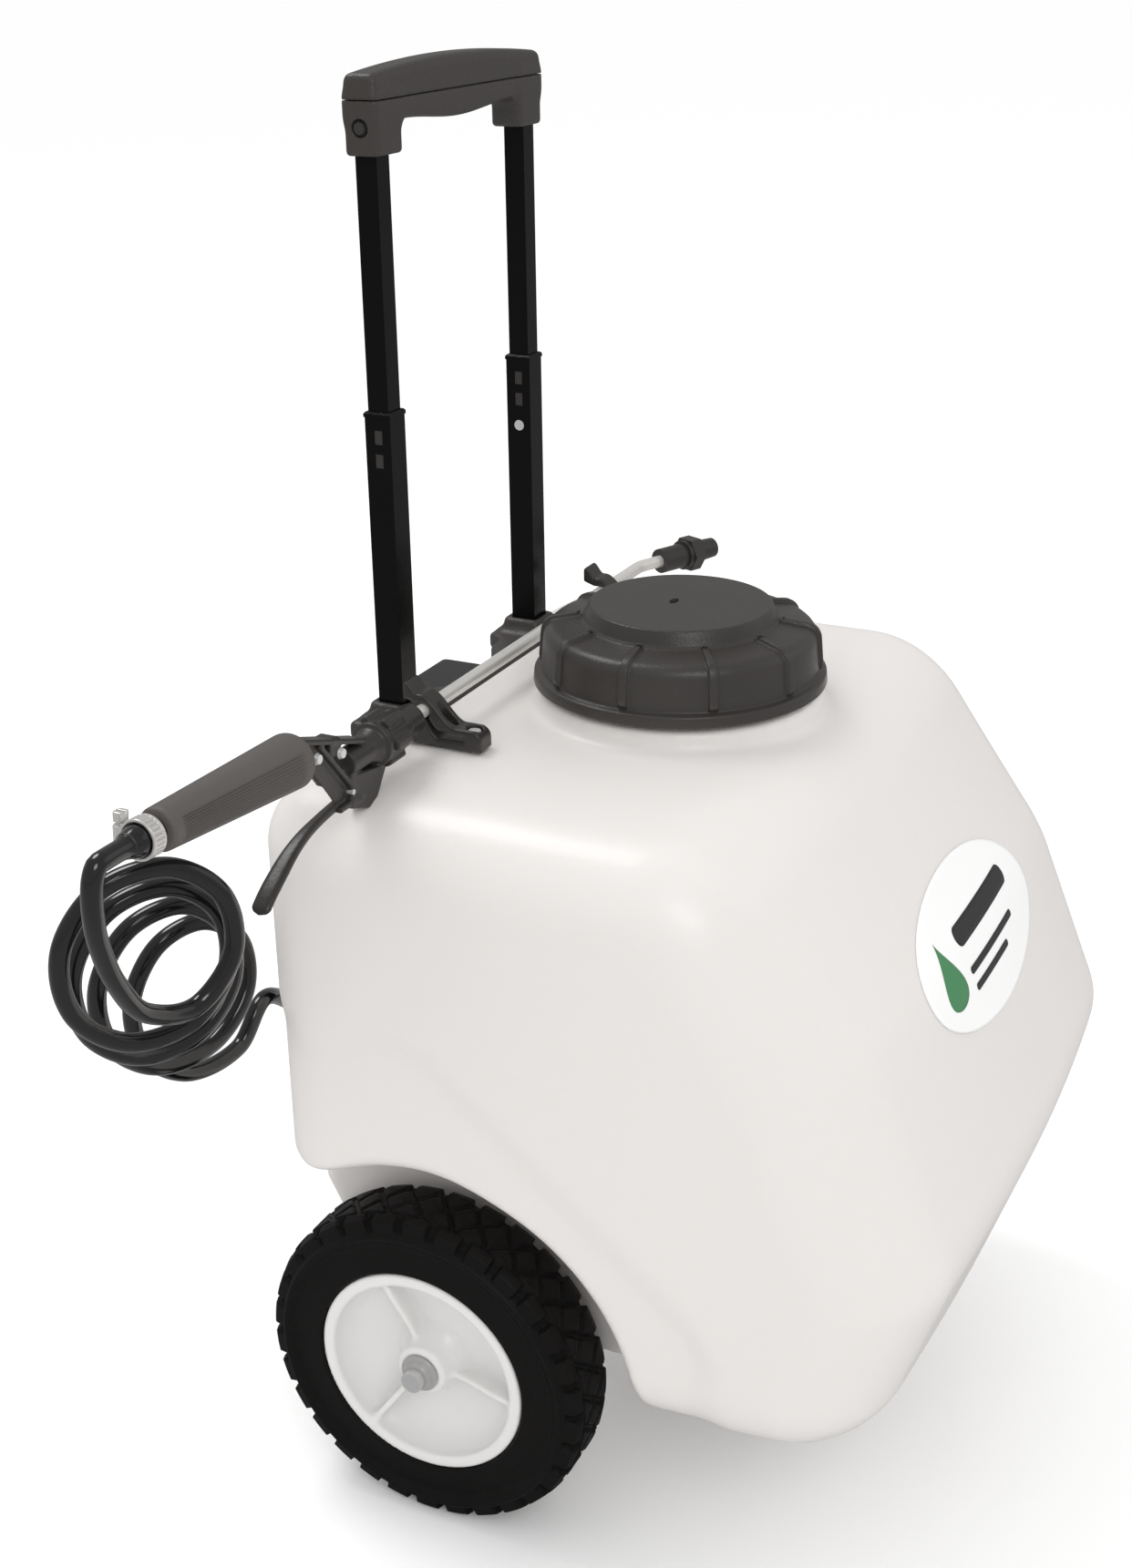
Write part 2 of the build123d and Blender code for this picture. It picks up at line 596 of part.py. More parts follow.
def valve_stem():
    """The pin that the trigger's horn pushes to open the valve."""
    rear = rod((STEM_X0, WAND_Y, WAND_Z), (STEM_X1, WAND_Y, WAND_Z), 1.8)
    disc = rod((STEM_X1, WAND_Y, WAND_Z), (STEM_X1 + 3, WAND_Y, WAND_Z), 4.1)
    return rear + disc


def valve_spring():
    """A closed coil stands for the spring that seats the valve."""
    return pipe((STEM_X1 + 10, WAND_Y, WAND_Z), (NUT_X - 5, WAND_Y, WAND_Z), 4.1, 3.1)


def wand_nut():
    """A ribbed compression nut that clamps the wand in the valve body."""
    nut = pipe((NUT_X - 14, WAND_Y, WAND_Z), (NUT_X + 7, WAND_Y, WAND_Z), 11.5, WAND_R)
    nut += pipe((NUT_X + 7, WAND_Y, WAND_Z), (NUT_X + 24, WAND_Y, WAND_Z), 9, WAND_R)
    for i in range(6):
        lobe = Rot(60 * i, 0, 0) * block(NUT_X - 14, NUT_X + 3, -2.7, 2.7, 10.5, 14.5)
        nut += Pos(0, WAND_Y, WAND_Z) * lobe
    return nut - rod((NUT_X - 15, WAND_Y, WAND_Z), (NUT_X - 4, WAND_Y, WAND_Z), BODY_R)


def wand_path():
    turn = 20.0
    angle = radians(WAND_BEND)
    half = turn * sin(angle / 2) / cos(angle / 2)
    start = Vector(NUT_X - 4, WAND_Y, WAND_Z)
    corner = Vector(BEND_X, WAND_Y, WAND_Z)
    out = Vector(cos(angle), -sin(angle), 0)
    return start, corner - Vector(half, 0, 0), corner + out * half, out


def wand_tube():
    start, bend_start, bend_end, out = wand_path()
    path = Line(start, bend_start) + TangentArc(bend_start, bend_end, tangent=(1, 0, 0))
    path += Line(bend_end, bend_end + out * 26)
    ring = Plane(origin=start, z_dir=(1, 0, 0)) * (Circle(WAND_R) - Circle(WAND_R - 0.9))
    return sweep(ring, path=path)


def nozzle_point(distance):
    """A point along the bent end of the wand, from the end of the bend."""
    _, _, bend_end, out = wand_path()
    return bend_end + out * distance


def nozzle_body():
    body = rod(nozzle_point(14), nozzle_point(34), 8.2) + rod(nozzle_point(34), nozzle_point(37), 10)
    body += rod(nozzle_point(37), nozzle_point(52), 4.5)
    body -= rod(nozzle_point(13), nozzle_point(26), WAND_R)
    return body - rod(nozzle_point(20), nozzle_point(60), 1.5)


def nozzle_nut():
    seat = Plane(origin=nozzle_point(37), z_dir=wand_path()[3])
    nut = seat * extrude(RegularPolygon(12.0, 6), 9)
    return nut - rod(nozzle_point(36), nozzle_point(60), 4.5)


def nozzle_tip():
    """The knurled cone that turns to set the spray."""
    tip = rod(nozzle_point(46.2), nozzle_point(62), 7.4, 6.6)
    tip -= rod(nozzle_point(45), nozzle_point(54), 4.5 + RUNNING)
    return tip - rod(nozzle_point(50), nozzle_point(70), 0.8)


# ---------------------------------------------------------------- hose and clamps
def coil_point(turn):
    """A point on the hose coil, turn counted in whole rings from the top of the first one."""
    facing = radians(COIL_FACING + COIL_TWIST * turn)
    side = Vector(cos(facing), sin(facing), 0)
    middle = COIL_START + COIL_DRIFT * turn + COIL_PULL * turn ** 2
    angle = 2 * pi * turn
    return middle + Vector(0, 0, COIL_R) * cos(angle) - side * (COIL_R * sin(angle))


HOSE_SPLIT = BARB_END + Vector(-14, 0, 0)
PORT_X, PORT_Z = -12.0, 228.0
HEAD_BACK = RECESS_Y + 54
PORT_END = HEAD_BACK + 20


def delivery_hose():
    """The coiled hose from the pump towards the gun."""
    lead_in = [HOSE_SPLIT + Vector(*step) for step in LEAD_IN]
    steps = round((LAST_TURN - FIRST_TURN) * 8)
    rings = [coil_point(FIRST_TURN + i / 8) for i in range(steps + 1)]
    tail = [Vector(-80, 152, 238), Vector(-34, 146, 231),
            Vector(PORT_X, PORT_END + 10, PORT_Z), Vector(PORT_X, PORT_END + 1.2, PORT_Z)]
    return sweep_round(lead_in + rings + tail, HOSE_R)


def hose_gun_end():
    """The hose's end, pushed over the gun's barb."""
    start = GRIP_END + (GRIP_END - GRIP_START).normalized() * 3
    return rod(start, HOSE_SPLIT, 8.0, HOSE_R) - gun_core()


def hose_clamp():
    """The worm clamp on the gun's hose end."""
    axis = (GRIP_END - GRIP_START).normalized()
    start = GRIP_END + axis * 5
    band = pipe(start, start + axis * 9, 9.2, 8.0)
    screw = block(-375, -366, WAND_Y - 5, WAND_Y + 9, 508.5, 515)
    return band + screw - hose_gun_end()


# ---------------------------------------------------------------- pump, battery and switch
def pump_bracket():
    """A bent plate on the recess wall with shelves for pump and battery."""
    plate = block(-70, 70, RECESS_Y, RECESS_Y + 3, 194, 344)
    shelf = block(-46, 46, RECESS_Y, BATTERY_Y1, 334, 337)
    foot = block(-34, 34, RECESS_Y, RECESS_Y + 58, 200, 203)
    plate = plate + shelf + foot
    for x, z in bracket_screw_spots():
        plate -= rod((x, RECESS_Y - 1, z), (x, RECESS_Y + 5, z), SCREW_R)
    return plate - rod((SUCTION_X, RECESS_Y - 1, SUCTION_Z), (SUCTION_X, RECESS_Y + 5, SUCTION_Z), 13)


def bracket_screws():
    return group(*[pan_screw((x, RECESS_Y + 3, z), (0, -1, 0), 17) for x, z in bracket_screw_spots()])


def pump_head():
    """Diaphragm pump head with an inlet and an outlet barb."""
    head = block(-24, 24, RECESS_Y + 6, HEAD_BACK, 203, 250)
    head = fillet(head.edges().filter_by(Axis.Z), 6)
    head += rod((PORT_X, HEAD_BACK, PORT_Z), (PORT_X, PORT_END, PORT_Z), 4.0)
    head += rod((PORT_X, HEAD_BACK, PORT_Z), (PORT_X, HEAD_BACK + 9, PORT_Z), 8.0)
    head += rod((24, POST_Y + 12, PORT_Z), (34, POST_Y + 12, PORT_Z), 8.0)
    return head


def pump_motor():
    motor = rod((0, POST_Y, 250), (0, POST_Y, 330), 24)
    motor = fillet(motor.edges().sort_by(Axis.Z)[-1], 3)
    return motor


BATTERY_Y0, BATTERY_Y1 = RECESS_Y + 8, RECESS_Y + 72


def battery():
    case = block(-45, 45, BATTERY_Y0, BATTERY_Y1, 337, 436)
    return fillet(case.edges().filter_by(Axis.Z), 3)


def battery_strap():
    """A strap round the battery."""
    y0, y1 = BATTERY_Y0, BATTERY_Y1
    band = block(-46.5, 46.5, y0 - 1.5, y1 + 1.5, 380, 400)
    band = fillet(band.edges().filter_by(Axis.Z), 4.5)
    return band - fillet(block(-45, 45, y0, y1, 379, 401).edges().filter_by(Axis.Z), 3)


SWITCH_X, SWITCH_Z = 59.0, 384.0
SWITCH_BACK = RECESS_Y + 58
ROCKER_PIN_R = 1.5


def switch_housing():
    """A small box between battery and guide tube that carries the switch."""
    case = block(SWITCH_X - 11, SWITCH_X + 11, RECESS_Y + 3, SWITCH_BACK, SWITCH_Z - 22, SWITCH_Z + 22)
    case = fillet(case.edges().filter_by(Axis.Z), 2)
    pocket = Pos(SWITCH_X, SWITCH_BACK - 4, SWITCH_Z) * Box(16, 12, 24)
    return case - pocket - rocker_pivot(9.5, ROCKER_PIN_R + RUNNING)


def rocker_pivot(reach, radius):
    y = SWITCH_BACK - 2
    return rod((SWITCH_X - reach, y, SWITCH_Z), (SWITCH_X + reach, y, SWITCH_Z), radius)


def rocker_switch():
    """The on/off rocker: it tips on two trunnions across its pocket."""
    y = SWITCH_BACK - 2
    corners = [(y - 4, SWITCH_Z - 9, 1), (y + 3, SWITCH_Z - 10, 1), (y + 1.4, SWITCH_Z, 0),
               (y + 3, SWITCH_Z + 10, 1), (y - 4, SWITCH_Z + 9, 1)]
    return slab(corners, SWITCH_X - 7, SWITCH_X + 7) + rocker_pivot(9, ROCKER_PIN_R)


def suction_fitting():
    """A bulkhead elbow through the recess wall."""
    stem = rod((SUCTION_X, RECESS_Y - 22, SUCTION_Z), (SUCTION_X, RECESS_Y + 14, SUCTION_Z), 7.95)
    flange = rod((SUCTION_X, RECESS_Y, SUCTION_Z), (SUCTION_X, RECESS_Y + 3, SUCTION_Z), 12)
    drop = rod((SUCTION_X, RECESS_Y - 16, SUCTION_Z - 24), (SUCTION_X, RECESS_Y - 16, SUCTION_Z), 5)
    return stem + flange + drop


def suction_nut():
    seat = Plane(origin=(SUCTION_X, RECESS_Y - WALL, SUCTION_Z), z_dir=(0, -1, 0))
    bore = rod((SUCTION_X, 0, SUCTION_Z), (SUCTION_X, 60, SUCTION_Z), 7.95)
    return seat * extrude(RegularPolygon(12, 6), 5) - bore


def pickup_strainer():
    """The strainer that hangs to the tank's floor."""
    top = SUCTION_Z - 24
    tube = pipe((SUCTION_X, RECESS_Y - 16, 134), (SUCTION_X, RECESS_Y - 16, top + 12), 6.4, 5)
    return tube + rod((SUCTION_X, RECESS_Y - 16, 117), (SUCTION_X, RECESS_Y - 16, 134), 10)


def suction_hose():
    """A short looped hose from the bulkhead elbow to the pump's inlet."""
    start = Vector(SUCTION_X, RECESS_Y + 15.5, SUCTION_Z)
    end = Vector(37.5, POST_Y + 12, PORT_Z)
    points = [start, start + Vector(0.5, 5, 0), start + Vector(6, 14, 1), end + Vector(5, 0.5, 0), end]
    return sweep_round(points, 5.5)


def wires():
    """Battery lead and pump lead."""
    floor = SWITCH_Z - 23
    battery_end = [Vector(46, 82, 346), Vector(50, 83, 346), Vector(56, 84, 352), Vector(56, 84, floor)]
    lead = sweep_round(battery_end, 1.6)
    pump = sweep_round([Vector(24.2, POST_Y, 290), Vector(36, 74, 292), Vector(56, 90, 310),
                        Vector(61, 92, 340), Vector(61, 92, floor)], 1.6)
    return group(lead, pump)


# ---------------------------------------------------------------- one STEP for each node
def nodes():
    return {
        "tank_shell": tank_shell(),
        "front_label": label(),
        "filler_lid": lid(),
        "lid_gasket": lid_gasket(),
        "axle": axle(),
        "axle_saddles": both(axle_saddle),
        "saddle_screws": saddle_screws(),
        "axle_spacers": both(axle_spacer),
        "axle_washers": both(axle_washer),
        "axle_caps": both(axle_cap),
        "hub_left": wheel_hub(-1),
        "hub_right": wheel_hub(1),
        "tyre_left": tyre(-1),
        "tyre_right": tyre(1),
        "front_leg": front_leg(),
        "leg_pad": leg_pad(),
        "leg_screws": leg_screws(),
        "handle_base": handle_base(),
        "base_screws": base_screws(),
        "guide_tubes": both(guide_tube),
        "mid_tubes": both(mid_tube),
        "mid_collars": both(mid_collar),
        "latch_keys": group(*latch_insert(-1), *latch_insert(1)),
        "mid_screws": both(mid_screw),
        "upper_tubes": both(upper_tube),
        "upper_plugs": both(upper_plug),
        "grip_lower": grip_lower(),
        "grip_upper": grip_upper(),
        "grip_screws": both(grip_screw),
        "wand_clips": both(wand_clip),
        "clip_screws": clip_screws(),
        "gun_body": gun_body(),
        "gun_grip": gun_grip(),
        "gun_screws": gun_screws(),
        "trigger": trigger(),
        "trigger_pin": trigger_pin(),
        "valve_stem": valve_stem(),
        "valve_spring": valve_spring(),
        "wand_nut": wand_nut(),
        "wand_tube": wand_tube(),
        "nozzle_body": nozzle_body(),
        "nozzle_nut": nozzle_nut(),
        "nozzle_tip": nozzle_tip(),
        "hose_clamp": hose_clamp(),
        "hose_gun_end": hose_gun_end(),
        "delivery_hose": delivery_hose(),
        "pump_bracket": pump_bracket(),
        "bracket_screws": bracket_screws(),
        "pump_head": pump_head(),
        "pump_motor": pump_motor(),
        "battery": battery(),
        "battery_strap": battery_strap(),
        "switch_housing": switch_housing(),
        "rocker_switch": rocker_switch(),
        "suction_fitting": suction_fitting(),
        "suction_nut": suction_nut(),
        "pickup_strainer": pickup_strainer(),
        "suction_hose": suction_hose(),
        "wires": wires(),
    }


os.makedirs("parts", exist_ok=True)
to_foot = Pos(0, -LEG_Y, 0)
for name, shape in nodes().items():
    export_step(to_foot * shape, f"parts/{name}.step")
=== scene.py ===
import math

import bmesh
import bpy
import numpy as np
from mathutils import Matrix, Vector

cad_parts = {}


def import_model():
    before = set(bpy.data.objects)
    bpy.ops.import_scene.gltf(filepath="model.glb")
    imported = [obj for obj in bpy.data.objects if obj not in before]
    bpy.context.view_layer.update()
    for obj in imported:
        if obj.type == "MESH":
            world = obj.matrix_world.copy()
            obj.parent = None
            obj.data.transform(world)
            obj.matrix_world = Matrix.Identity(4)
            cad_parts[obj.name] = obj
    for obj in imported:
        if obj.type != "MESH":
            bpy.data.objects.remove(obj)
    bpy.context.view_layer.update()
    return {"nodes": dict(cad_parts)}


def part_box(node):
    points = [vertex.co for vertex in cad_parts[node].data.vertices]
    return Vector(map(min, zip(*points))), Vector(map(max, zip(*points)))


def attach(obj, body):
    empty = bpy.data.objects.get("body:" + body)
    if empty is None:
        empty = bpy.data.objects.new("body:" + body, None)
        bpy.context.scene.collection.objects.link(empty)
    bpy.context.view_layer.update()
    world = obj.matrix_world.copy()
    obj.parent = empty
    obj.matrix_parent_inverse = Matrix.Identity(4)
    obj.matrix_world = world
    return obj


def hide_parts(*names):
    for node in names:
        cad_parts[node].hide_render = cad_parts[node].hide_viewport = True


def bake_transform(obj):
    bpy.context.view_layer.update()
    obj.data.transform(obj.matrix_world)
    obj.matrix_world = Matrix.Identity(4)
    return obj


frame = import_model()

MM = 0.001


# ---------------------------------------------------------------- where things are
# Shapes below are worked out in millimetres from the ground under the middle of the axle:
# x along the axle, -y the tank's front, z up. to_row() puts them in the frame.
def box_mm(node):
    """Lowest and highest corners of a CAD node in the working frame."""
    low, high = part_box(node)
    shift = np.array([0, AXLE_Y, 0])
    return (np.array(low) - shift) / MM, (np.array(high) - shift) / MM


AXLE_LOW, AXLE_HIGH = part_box("axle")
AXLE_Y = (AXLE_LOW[1] + AXLE_HIGH[1]) / 2
AXLE_Z = (AXLE_LOW[2] + AXLE_HIGH[2]) / 2 / MM
TANK_LOW, TANK_HIGH = box_mm("tank_shell")
HALF_X = TANK_HIGH[0]
BOTTOM = TANK_LOW[2]
BACK = TANK_HIGH[1]
LID_LOW, LID_HIGH = box_mm("filler_lid")
LID_Y = (LID_LOW[1] + LID_HIGH[1]) / 2
WAND_LOW, WAND_HIGH = box_mm("wand_tube")
WAND_Y = WAND_HIGH[1] - 3.97
WAND_Z = (WAND_LOW[2] + WAND_HIGH[2]) / 2


def to_row(points):
    """Working millimetres to the frame's metres."""
    return np.asarray(points, float) * MM + np.array([0, AXLE_Y, 0])


# ---------------------------------------------------------------- solids as distance functions
def meet(a, b, r=0.0):
    """Overlap of two solids, with its edge rounded to r."""
    corner = np.sqrt(np.maximum(a + r, 0) ** 2 + np.maximum(b + r, 0) ** 2)
    return np.minimum(np.maximum(a, b), -r) + corner


def join(a, b, r=0.0):
    """Union of two solids, with its inner corner filled to r."""
    return -meet(-a, -b, r)


def cut(a, b, r=0.0):
    """a with b taken away, the new edge rounded to r."""
    return meet(a, -b, r)


def edge_side(u, v, a, b):
    """Distance to the line a-b in a (u, v) plane, positive on the left of the way from a to b."""
    du, dv = b[0] - a[0], b[1] - a[1]
    return ((v - a[1]) * du - (u - a[0]) * dv) / math.hypot(du, dv)


def brick(x, y, z, low, high, r=0.0):
    """A box with rounded edges."""
    middle = [(a + b) / 2 for a, b in zip(low, high)]
    half = [(b - a) / 2 - r for a, b in zip(low, high)]
    q = [abs(p - m) - h for p, m, h in zip((x, y, z), middle, half)]
    outside = np.sqrt(sum(np.maximum(d, 0) ** 2 for d in q))
    return outside + np.minimum(np.maximum(np.maximum(q[0], q[1]), q[2]), 0) - r


def barrel(along, across, lo, hi, radius, r=0.0):
    """A round bar from lo to hi, given the coordinate along it and the distance from its axis."""
    return meet(across - radius, np.abs(along - (lo + hi) / 2) - (hi - lo) / 2, r)


def tapered_bar(x, y, z, start, end, r0, r1):
    """A round bar between two points, r0 at the first and r1 at the second."""
    start, end = np.array(start, float), np.array(end, float)
    axis = end - start
    length = np.linalg.norm(axis)
    axis /= length
    px, py, pz = x - start[0], y - start[1], z - start[2]
    along = px * axis[0] + py * axis[1] + pz * axis[2]
    across = np.sqrt(np.maximum(px ** 2 + py ** 2 + pz ** 2 - along ** 2, 0))
    radius = r0 + (r1 - r0) * np.clip(along / length, 0, 1)
    return meet(across - radius, np.abs(along - length / 2) - length / 2)


def smooth(t):
    """0 to 1 with soft ends, as t goes from 0 to 1."""
    t = np.clip(t, 0, 1)
    return t * t * (3 - 2 * t)


def step(fine):
    return fine


CORNERS = [(i, j, k) for i in (0, 1) for j in (0, 1) for k in (0, 1)]      # of one grid cell
CELL_EDGES = [(a, b) for a in CORNERS for b in CORNERS
              if a < b and sum(abs(p - q) for p, q in zip(a, b)) == 1]


def skin_points(solid, low, high, cell):
    """Quad mesh of the surface of a solid: one vertex in each grid cell that the surface crosses."""
    axes = [np.arange(lo - 2 * cell, hi + 3 * cell, cell) for lo, hi in zip(low, high)]
    value = solid(*np.meshgrid(*axes, indexing="ij"))
    inside = value < 0
    size = np.array(value.shape) - 1
    count = np.zeros(size, np.int8)
    for i, j, k in CORNERS:
        count += inside[i:size[0] + i, j:size[1] + j, k:size[2] + k]
    active = (count > 0) & (count < 8)
    index = np.full(active.shape, -1)
    index[active] = np.arange(active.sum())
    crossed = np.argwhere(active)
    total = np.zeros((len(crossed), 3))
    hits = np.zeros(len(crossed))
    for a, b in CELL_EDGES:
        va = value[tuple((crossed + a).T)]
        vb = value[tuple((crossed + b).T)]
        crosses = (va < 0) != (vb < 0)
        t = np.where(crosses, va / np.where(crosses, va - vb, 1), 0)[:, None]
        total += np.where(crosses[:, None], np.array(a) + t * (np.array(b) - np.array(a)), 0)
        hits += crosses
    points = np.array([ax[0] for ax in axes]) + (crossed + total / hits[:, None]) * cell
    faces = []
    for axis in range(3):
        u, v = (axis + 1) % 3, (axis + 2) % 3
        near = [slice(1, -1)] * 3
        near[axis] = slice(0, -1)
        far = list(near)
        far[axis] = slice(1, None)
        start, end = inside[tuple(near)], inside[tuple(far)]
        for mask, order in ((start & ~end, (0, 1, 2, 3)), (~start & end, (3, 2, 1, 0))):
            at = np.argwhere(mask)
            at[:, u] += 1
            at[:, v] += 1
            ring = []
            for du, dv in ((-1, -1), (0, -1), (0, 0), (-1, 0)):
                c = at.copy()
                c[:, u] += du
                c[:, v] += dv
                ring.append(index[tuple(c.T)])
            faces.append(np.stack([ring[o] for o in order], axis=1))
    return points, np.concatenate(faces)


def settle(points, solid, cell, rounds=4):
    """Moves points onto the exact surface of a solid."""
    nudge = cell * 0.1
    for _ in range(rounds):
        x, y, z = points.T
        d = solid(x, y, z)
        slope = np.stack([solid(x + nudge, y, z) - solid(x - nudge, y, z),
                          solid(x, y + nudge, z) - solid(x, y - nudge, z),
                          solid(x, y, z + nudge) - solid(x, y, z - nudge)], axis=1) / (2 * nudge)
        move = -d[:, None] * slope / np.maximum((slope ** 2).sum(axis=1), 0.25)[:, None]
        points = points + np.clip(move, -cell / 2, cell / 2)
    return points


# ---------------------------------------------------------------- meshes
def in_scene(name, data):
    """An object for a mesh, light or camera, put in the scene."""
    item = bpy.data.objects.new(name, data)
    bpy.context.scene.collection.objects.link(item)
    return item


def new_piece(name, points, faces):
    """A mesh object from points in millimetres."""
    mesh = bpy.data.meshes.new(name)
    mesh.from_pydata(to_row(points).tolist(), [], [tuple(int(i) for i in f) for f in faces])
    mesh.validate()
    mesh.polygons.foreach_set("use_smooth", [True] * len(mesh.polygons))
    return in_scene(name, mesh)


def carve(name, solid, low, high, cell):
    """A piece whose surface is where a distance function is zero."""
    points, faces = skin_points(solid, low, high, cell)
    return new_piece(name, settle(points, solid, cell), faces)


def face_outwards(piece):
    """Turns every face of a closed piece to the outside."""
    bm = bmesh.new()
    bm.from_mesh(piece.data)
    bmesh.ops.recalc_face_normals(bm, faces=bm.faces)
    bm.to_mesh(piece.data)
    bm.free()


def dress(piece, body, material, *nodes):
    """Gives a new piece its body, its material and the CAD nodes it stands for."""
    piece.data.materials.clear()
    piece.data.materials.append(material)
    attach(piece, body)
    if nodes:
        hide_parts(*nodes)
    return piece


def circle_steps(count):
    """Angles evenly spaced round a circle."""
    return np.arange(count) * 2 * math.pi / count


def end_faces(columns, total):
    """The two faces that close the ends of a grid of rings."""
    return [tuple(range(columns))[::-1], tuple(range(total - columns, total))]


def ring_faces(rows, columns, wrap_rows=False):
    """Quads of a grid that closes on itself along its columns."""
    faces = []
    for i in range(rows if wrap_rows else rows - 1):
        for j in range(columns):
            a, b = i * columns + j, i * columns + (j + 1) % columns
            c, d = ((i + 1) % rows) * columns + (j + 1) % columns, ((i + 1) % rows) * columns + j
            faces.append((a, b, c, d))
    return faces


def rounded_profile(corners, arc_steps=5):
    """Points along a profile of (u, v, radius) corners, each corner turned into an arc."""
    points = []
    count = len(corners)
    for i, (u, v, radius) in enumerate(corners):
        here = Vector((u, v))
        if radius <= 0 or i in (0, count - 1):
            points.append(here)
            continue
        back = (Vector(corners[i - 1][:2]) - here).normalized()
        ahead = (Vector(corners[i + 1][:2]) - here).normalized()
        half = back.angle(ahead) / 2
        reach = radius / math.tan(half)
        middle = here + (back + ahead).normalized() * (radius / math.sin(half))
        start, end = here + back * reach - middle, here + ahead * reach - middle
        for s in range(arc_steps + 1):
            points.append(middle + start.slerp(end, s / arc_steps, start).normalized() * radius)
    return np.array([tuple(p) for p in points])


def refine(outline, reach):
    """An outline without repeated points, and with long gaps split at about reach."""
    apart = np.linalg.norm(np.diff(outline, axis=0), axis=1)
    outline = outline[np.concatenate([[True], apart > 1e-4])]
    dense = [outline[0]]
    for a, b in zip(outline[:-1], outline[1:]):
        parts = max(int(np.linalg.norm(b - a) / reach), 1)
        dense += [a + (b - a) * (i + 1) / parts for i in range(parts)]
    return np.array(dense)


def tube_along(path, radius, sides):
    """Points and faces of a round tube along a path of points."""
    path = np.asarray(path, float)
    tangent = np.gradient(path, axis=0)
    tangent /= np.linalg.norm(tangent, axis=1)[:, None]
    normal = np.cross(tangent[0], (0, 0, 1))
    if np.linalg.norm(normal) < 0.1:
        normal = np.cross(tangent[0], (0, 1, 0))
    normal /= np.linalg.norm(normal)
    rings = []
    angle = circle_steps(sides)
    radii = np.broadcast_to(radius, len(path))
    for p, t, r in zip(path, tangent, radii):
        normal = normal - t * np.dot(normal, t)
        normal /= np.linalg.norm(normal)
        other = np.cross(t, normal)
        rings.append(p + r * (np.cos(angle)[:, None] * normal + np.sin(angle)[:, None] * other))
    faces = ring_faces(len(path), sides)
    points = np.concatenate(rings)
    return points, faces + end_faces(sides, len(points))


def smooth_path(points, spacing=2.0):
    """A curve through points, resampled evenly."""
    p = np.asarray(points, float)
    padded = np.vstack([2 * p[0] - p[1], p, 2 * p[-1] - p[-2]])
    fine = []
    for i in range(1, len(padded) - 2):
        p0, p1, p2, p3 = padded[i - 1:i + 3]
        t = np.linspace(0, 1, 24, endpoint=False)[:, None]
        fine.append(0.5 * (2 * p1 + (p2 - p0) * t + (2 * p0 - 5 * p1 + 4 * p2 - p3) * t ** 2
                           + (3 * p1 - p0 - 3 * p2 + p3) * t ** 3))
    fine = np.vstack(fine + [p[-1:]])
    along = np.concatenate([[0], np.cumsum(np.linalg.norm(np.diff(fine, axis=0), axis=1))])
    even = np.linspace(0, along[-1], max(int(along[-1] / spacing), 4))
    return np.stack([np.interp(even, along, fine[:, k]) for k in range(3)], axis=1)


# ---------------------------------------------------------------- materials
def node_material(name):
    """A new node material with its nodes and links."""
    material = bpy.data.materials.new(name)
    material.use_nodes = True
    return material, material.node_tree.nodes, material.node_tree.links


def surface(name, color, roughness, *, metallic=0.0, grain=0.0, grain_scale=400.0, mottle=0.04,
            mottle_scale=14.0, rough_spread=0.08, subsurface=0.0, scatter_mm=6.0, coat=0.0,
            stretch=(1, 1, 1), specular=0.5):
    """A material with colour mottling, a fine surface grain and uneven gloss."""
    material, nodes, links = node_material(name)
    shader = nodes["Principled BSDF"]
    place = nodes.new("ShaderNodeTexCoord")
    mapping = nodes.new("ShaderNodeMapping")
    mapping.inputs["Scale"].default_value = stretch
    links.new(place.outputs["Object"], mapping.inputs["Vector"])

    def noise(scale, detail):
        node = nodes.new("ShaderNodeTexNoise")
        node.inputs["Scale"].default_value = scale
        node.inputs["Detail"].default_value = detail
        links.new(mapping.outputs["Vector"], node.inputs["Vector"])
        return node.outputs["Fac"]

    broad = noise(mottle_scale, 4)
    fine = noise(grain_scale, 2)
    mix = nodes.new("ShaderNodeMix")
    mix.data_type = "RGBA"
    mix.inputs["A"].default_value = (*[c * (1 - mottle) for c in color], 1)
    mix.inputs["B"].default_value = (*[min(c * (1 + mottle), 1) for c in color], 1)
    links.new(broad, mix.inputs["Factor"])
    links.new(mix.outputs["Result"], shader.inputs["Base Color"])
    gloss = nodes.new("ShaderNodeMapRange")
    gloss.inputs["To Min"].default_value = max(roughness - rough_spread, 0.02)
    gloss.inputs["To Max"].default_value = min(roughness + rough_spread, 1)
    links.new(broad, gloss.inputs["Value"])
    links.new(gloss.outputs["Result"], shader.inputs["Roughness"])
    if grain:
        bump = nodes.new("ShaderNodeBump")
        bump.inputs["Strength"].default_value = grain
        bump.inputs["Distance"].default_value = 0.0004
        links.new(fine, bump.inputs["Height"])
        links.new(bump.outputs["Normal"], shader.inputs["Normal"])
    for label, value in (("Metallic", metallic), ("Coat Weight", coat), ("Coat Roughness", 0.12),
                         ("Specular IOR Level", specular), ("Subsurface Weight", subsurface),
                         ("Subsurface Scale", scatter_mm * MM), ("Subsurface Radius", (1.0, 0.92, 0.82))):
        shader.inputs[label].default_value = value
    return material


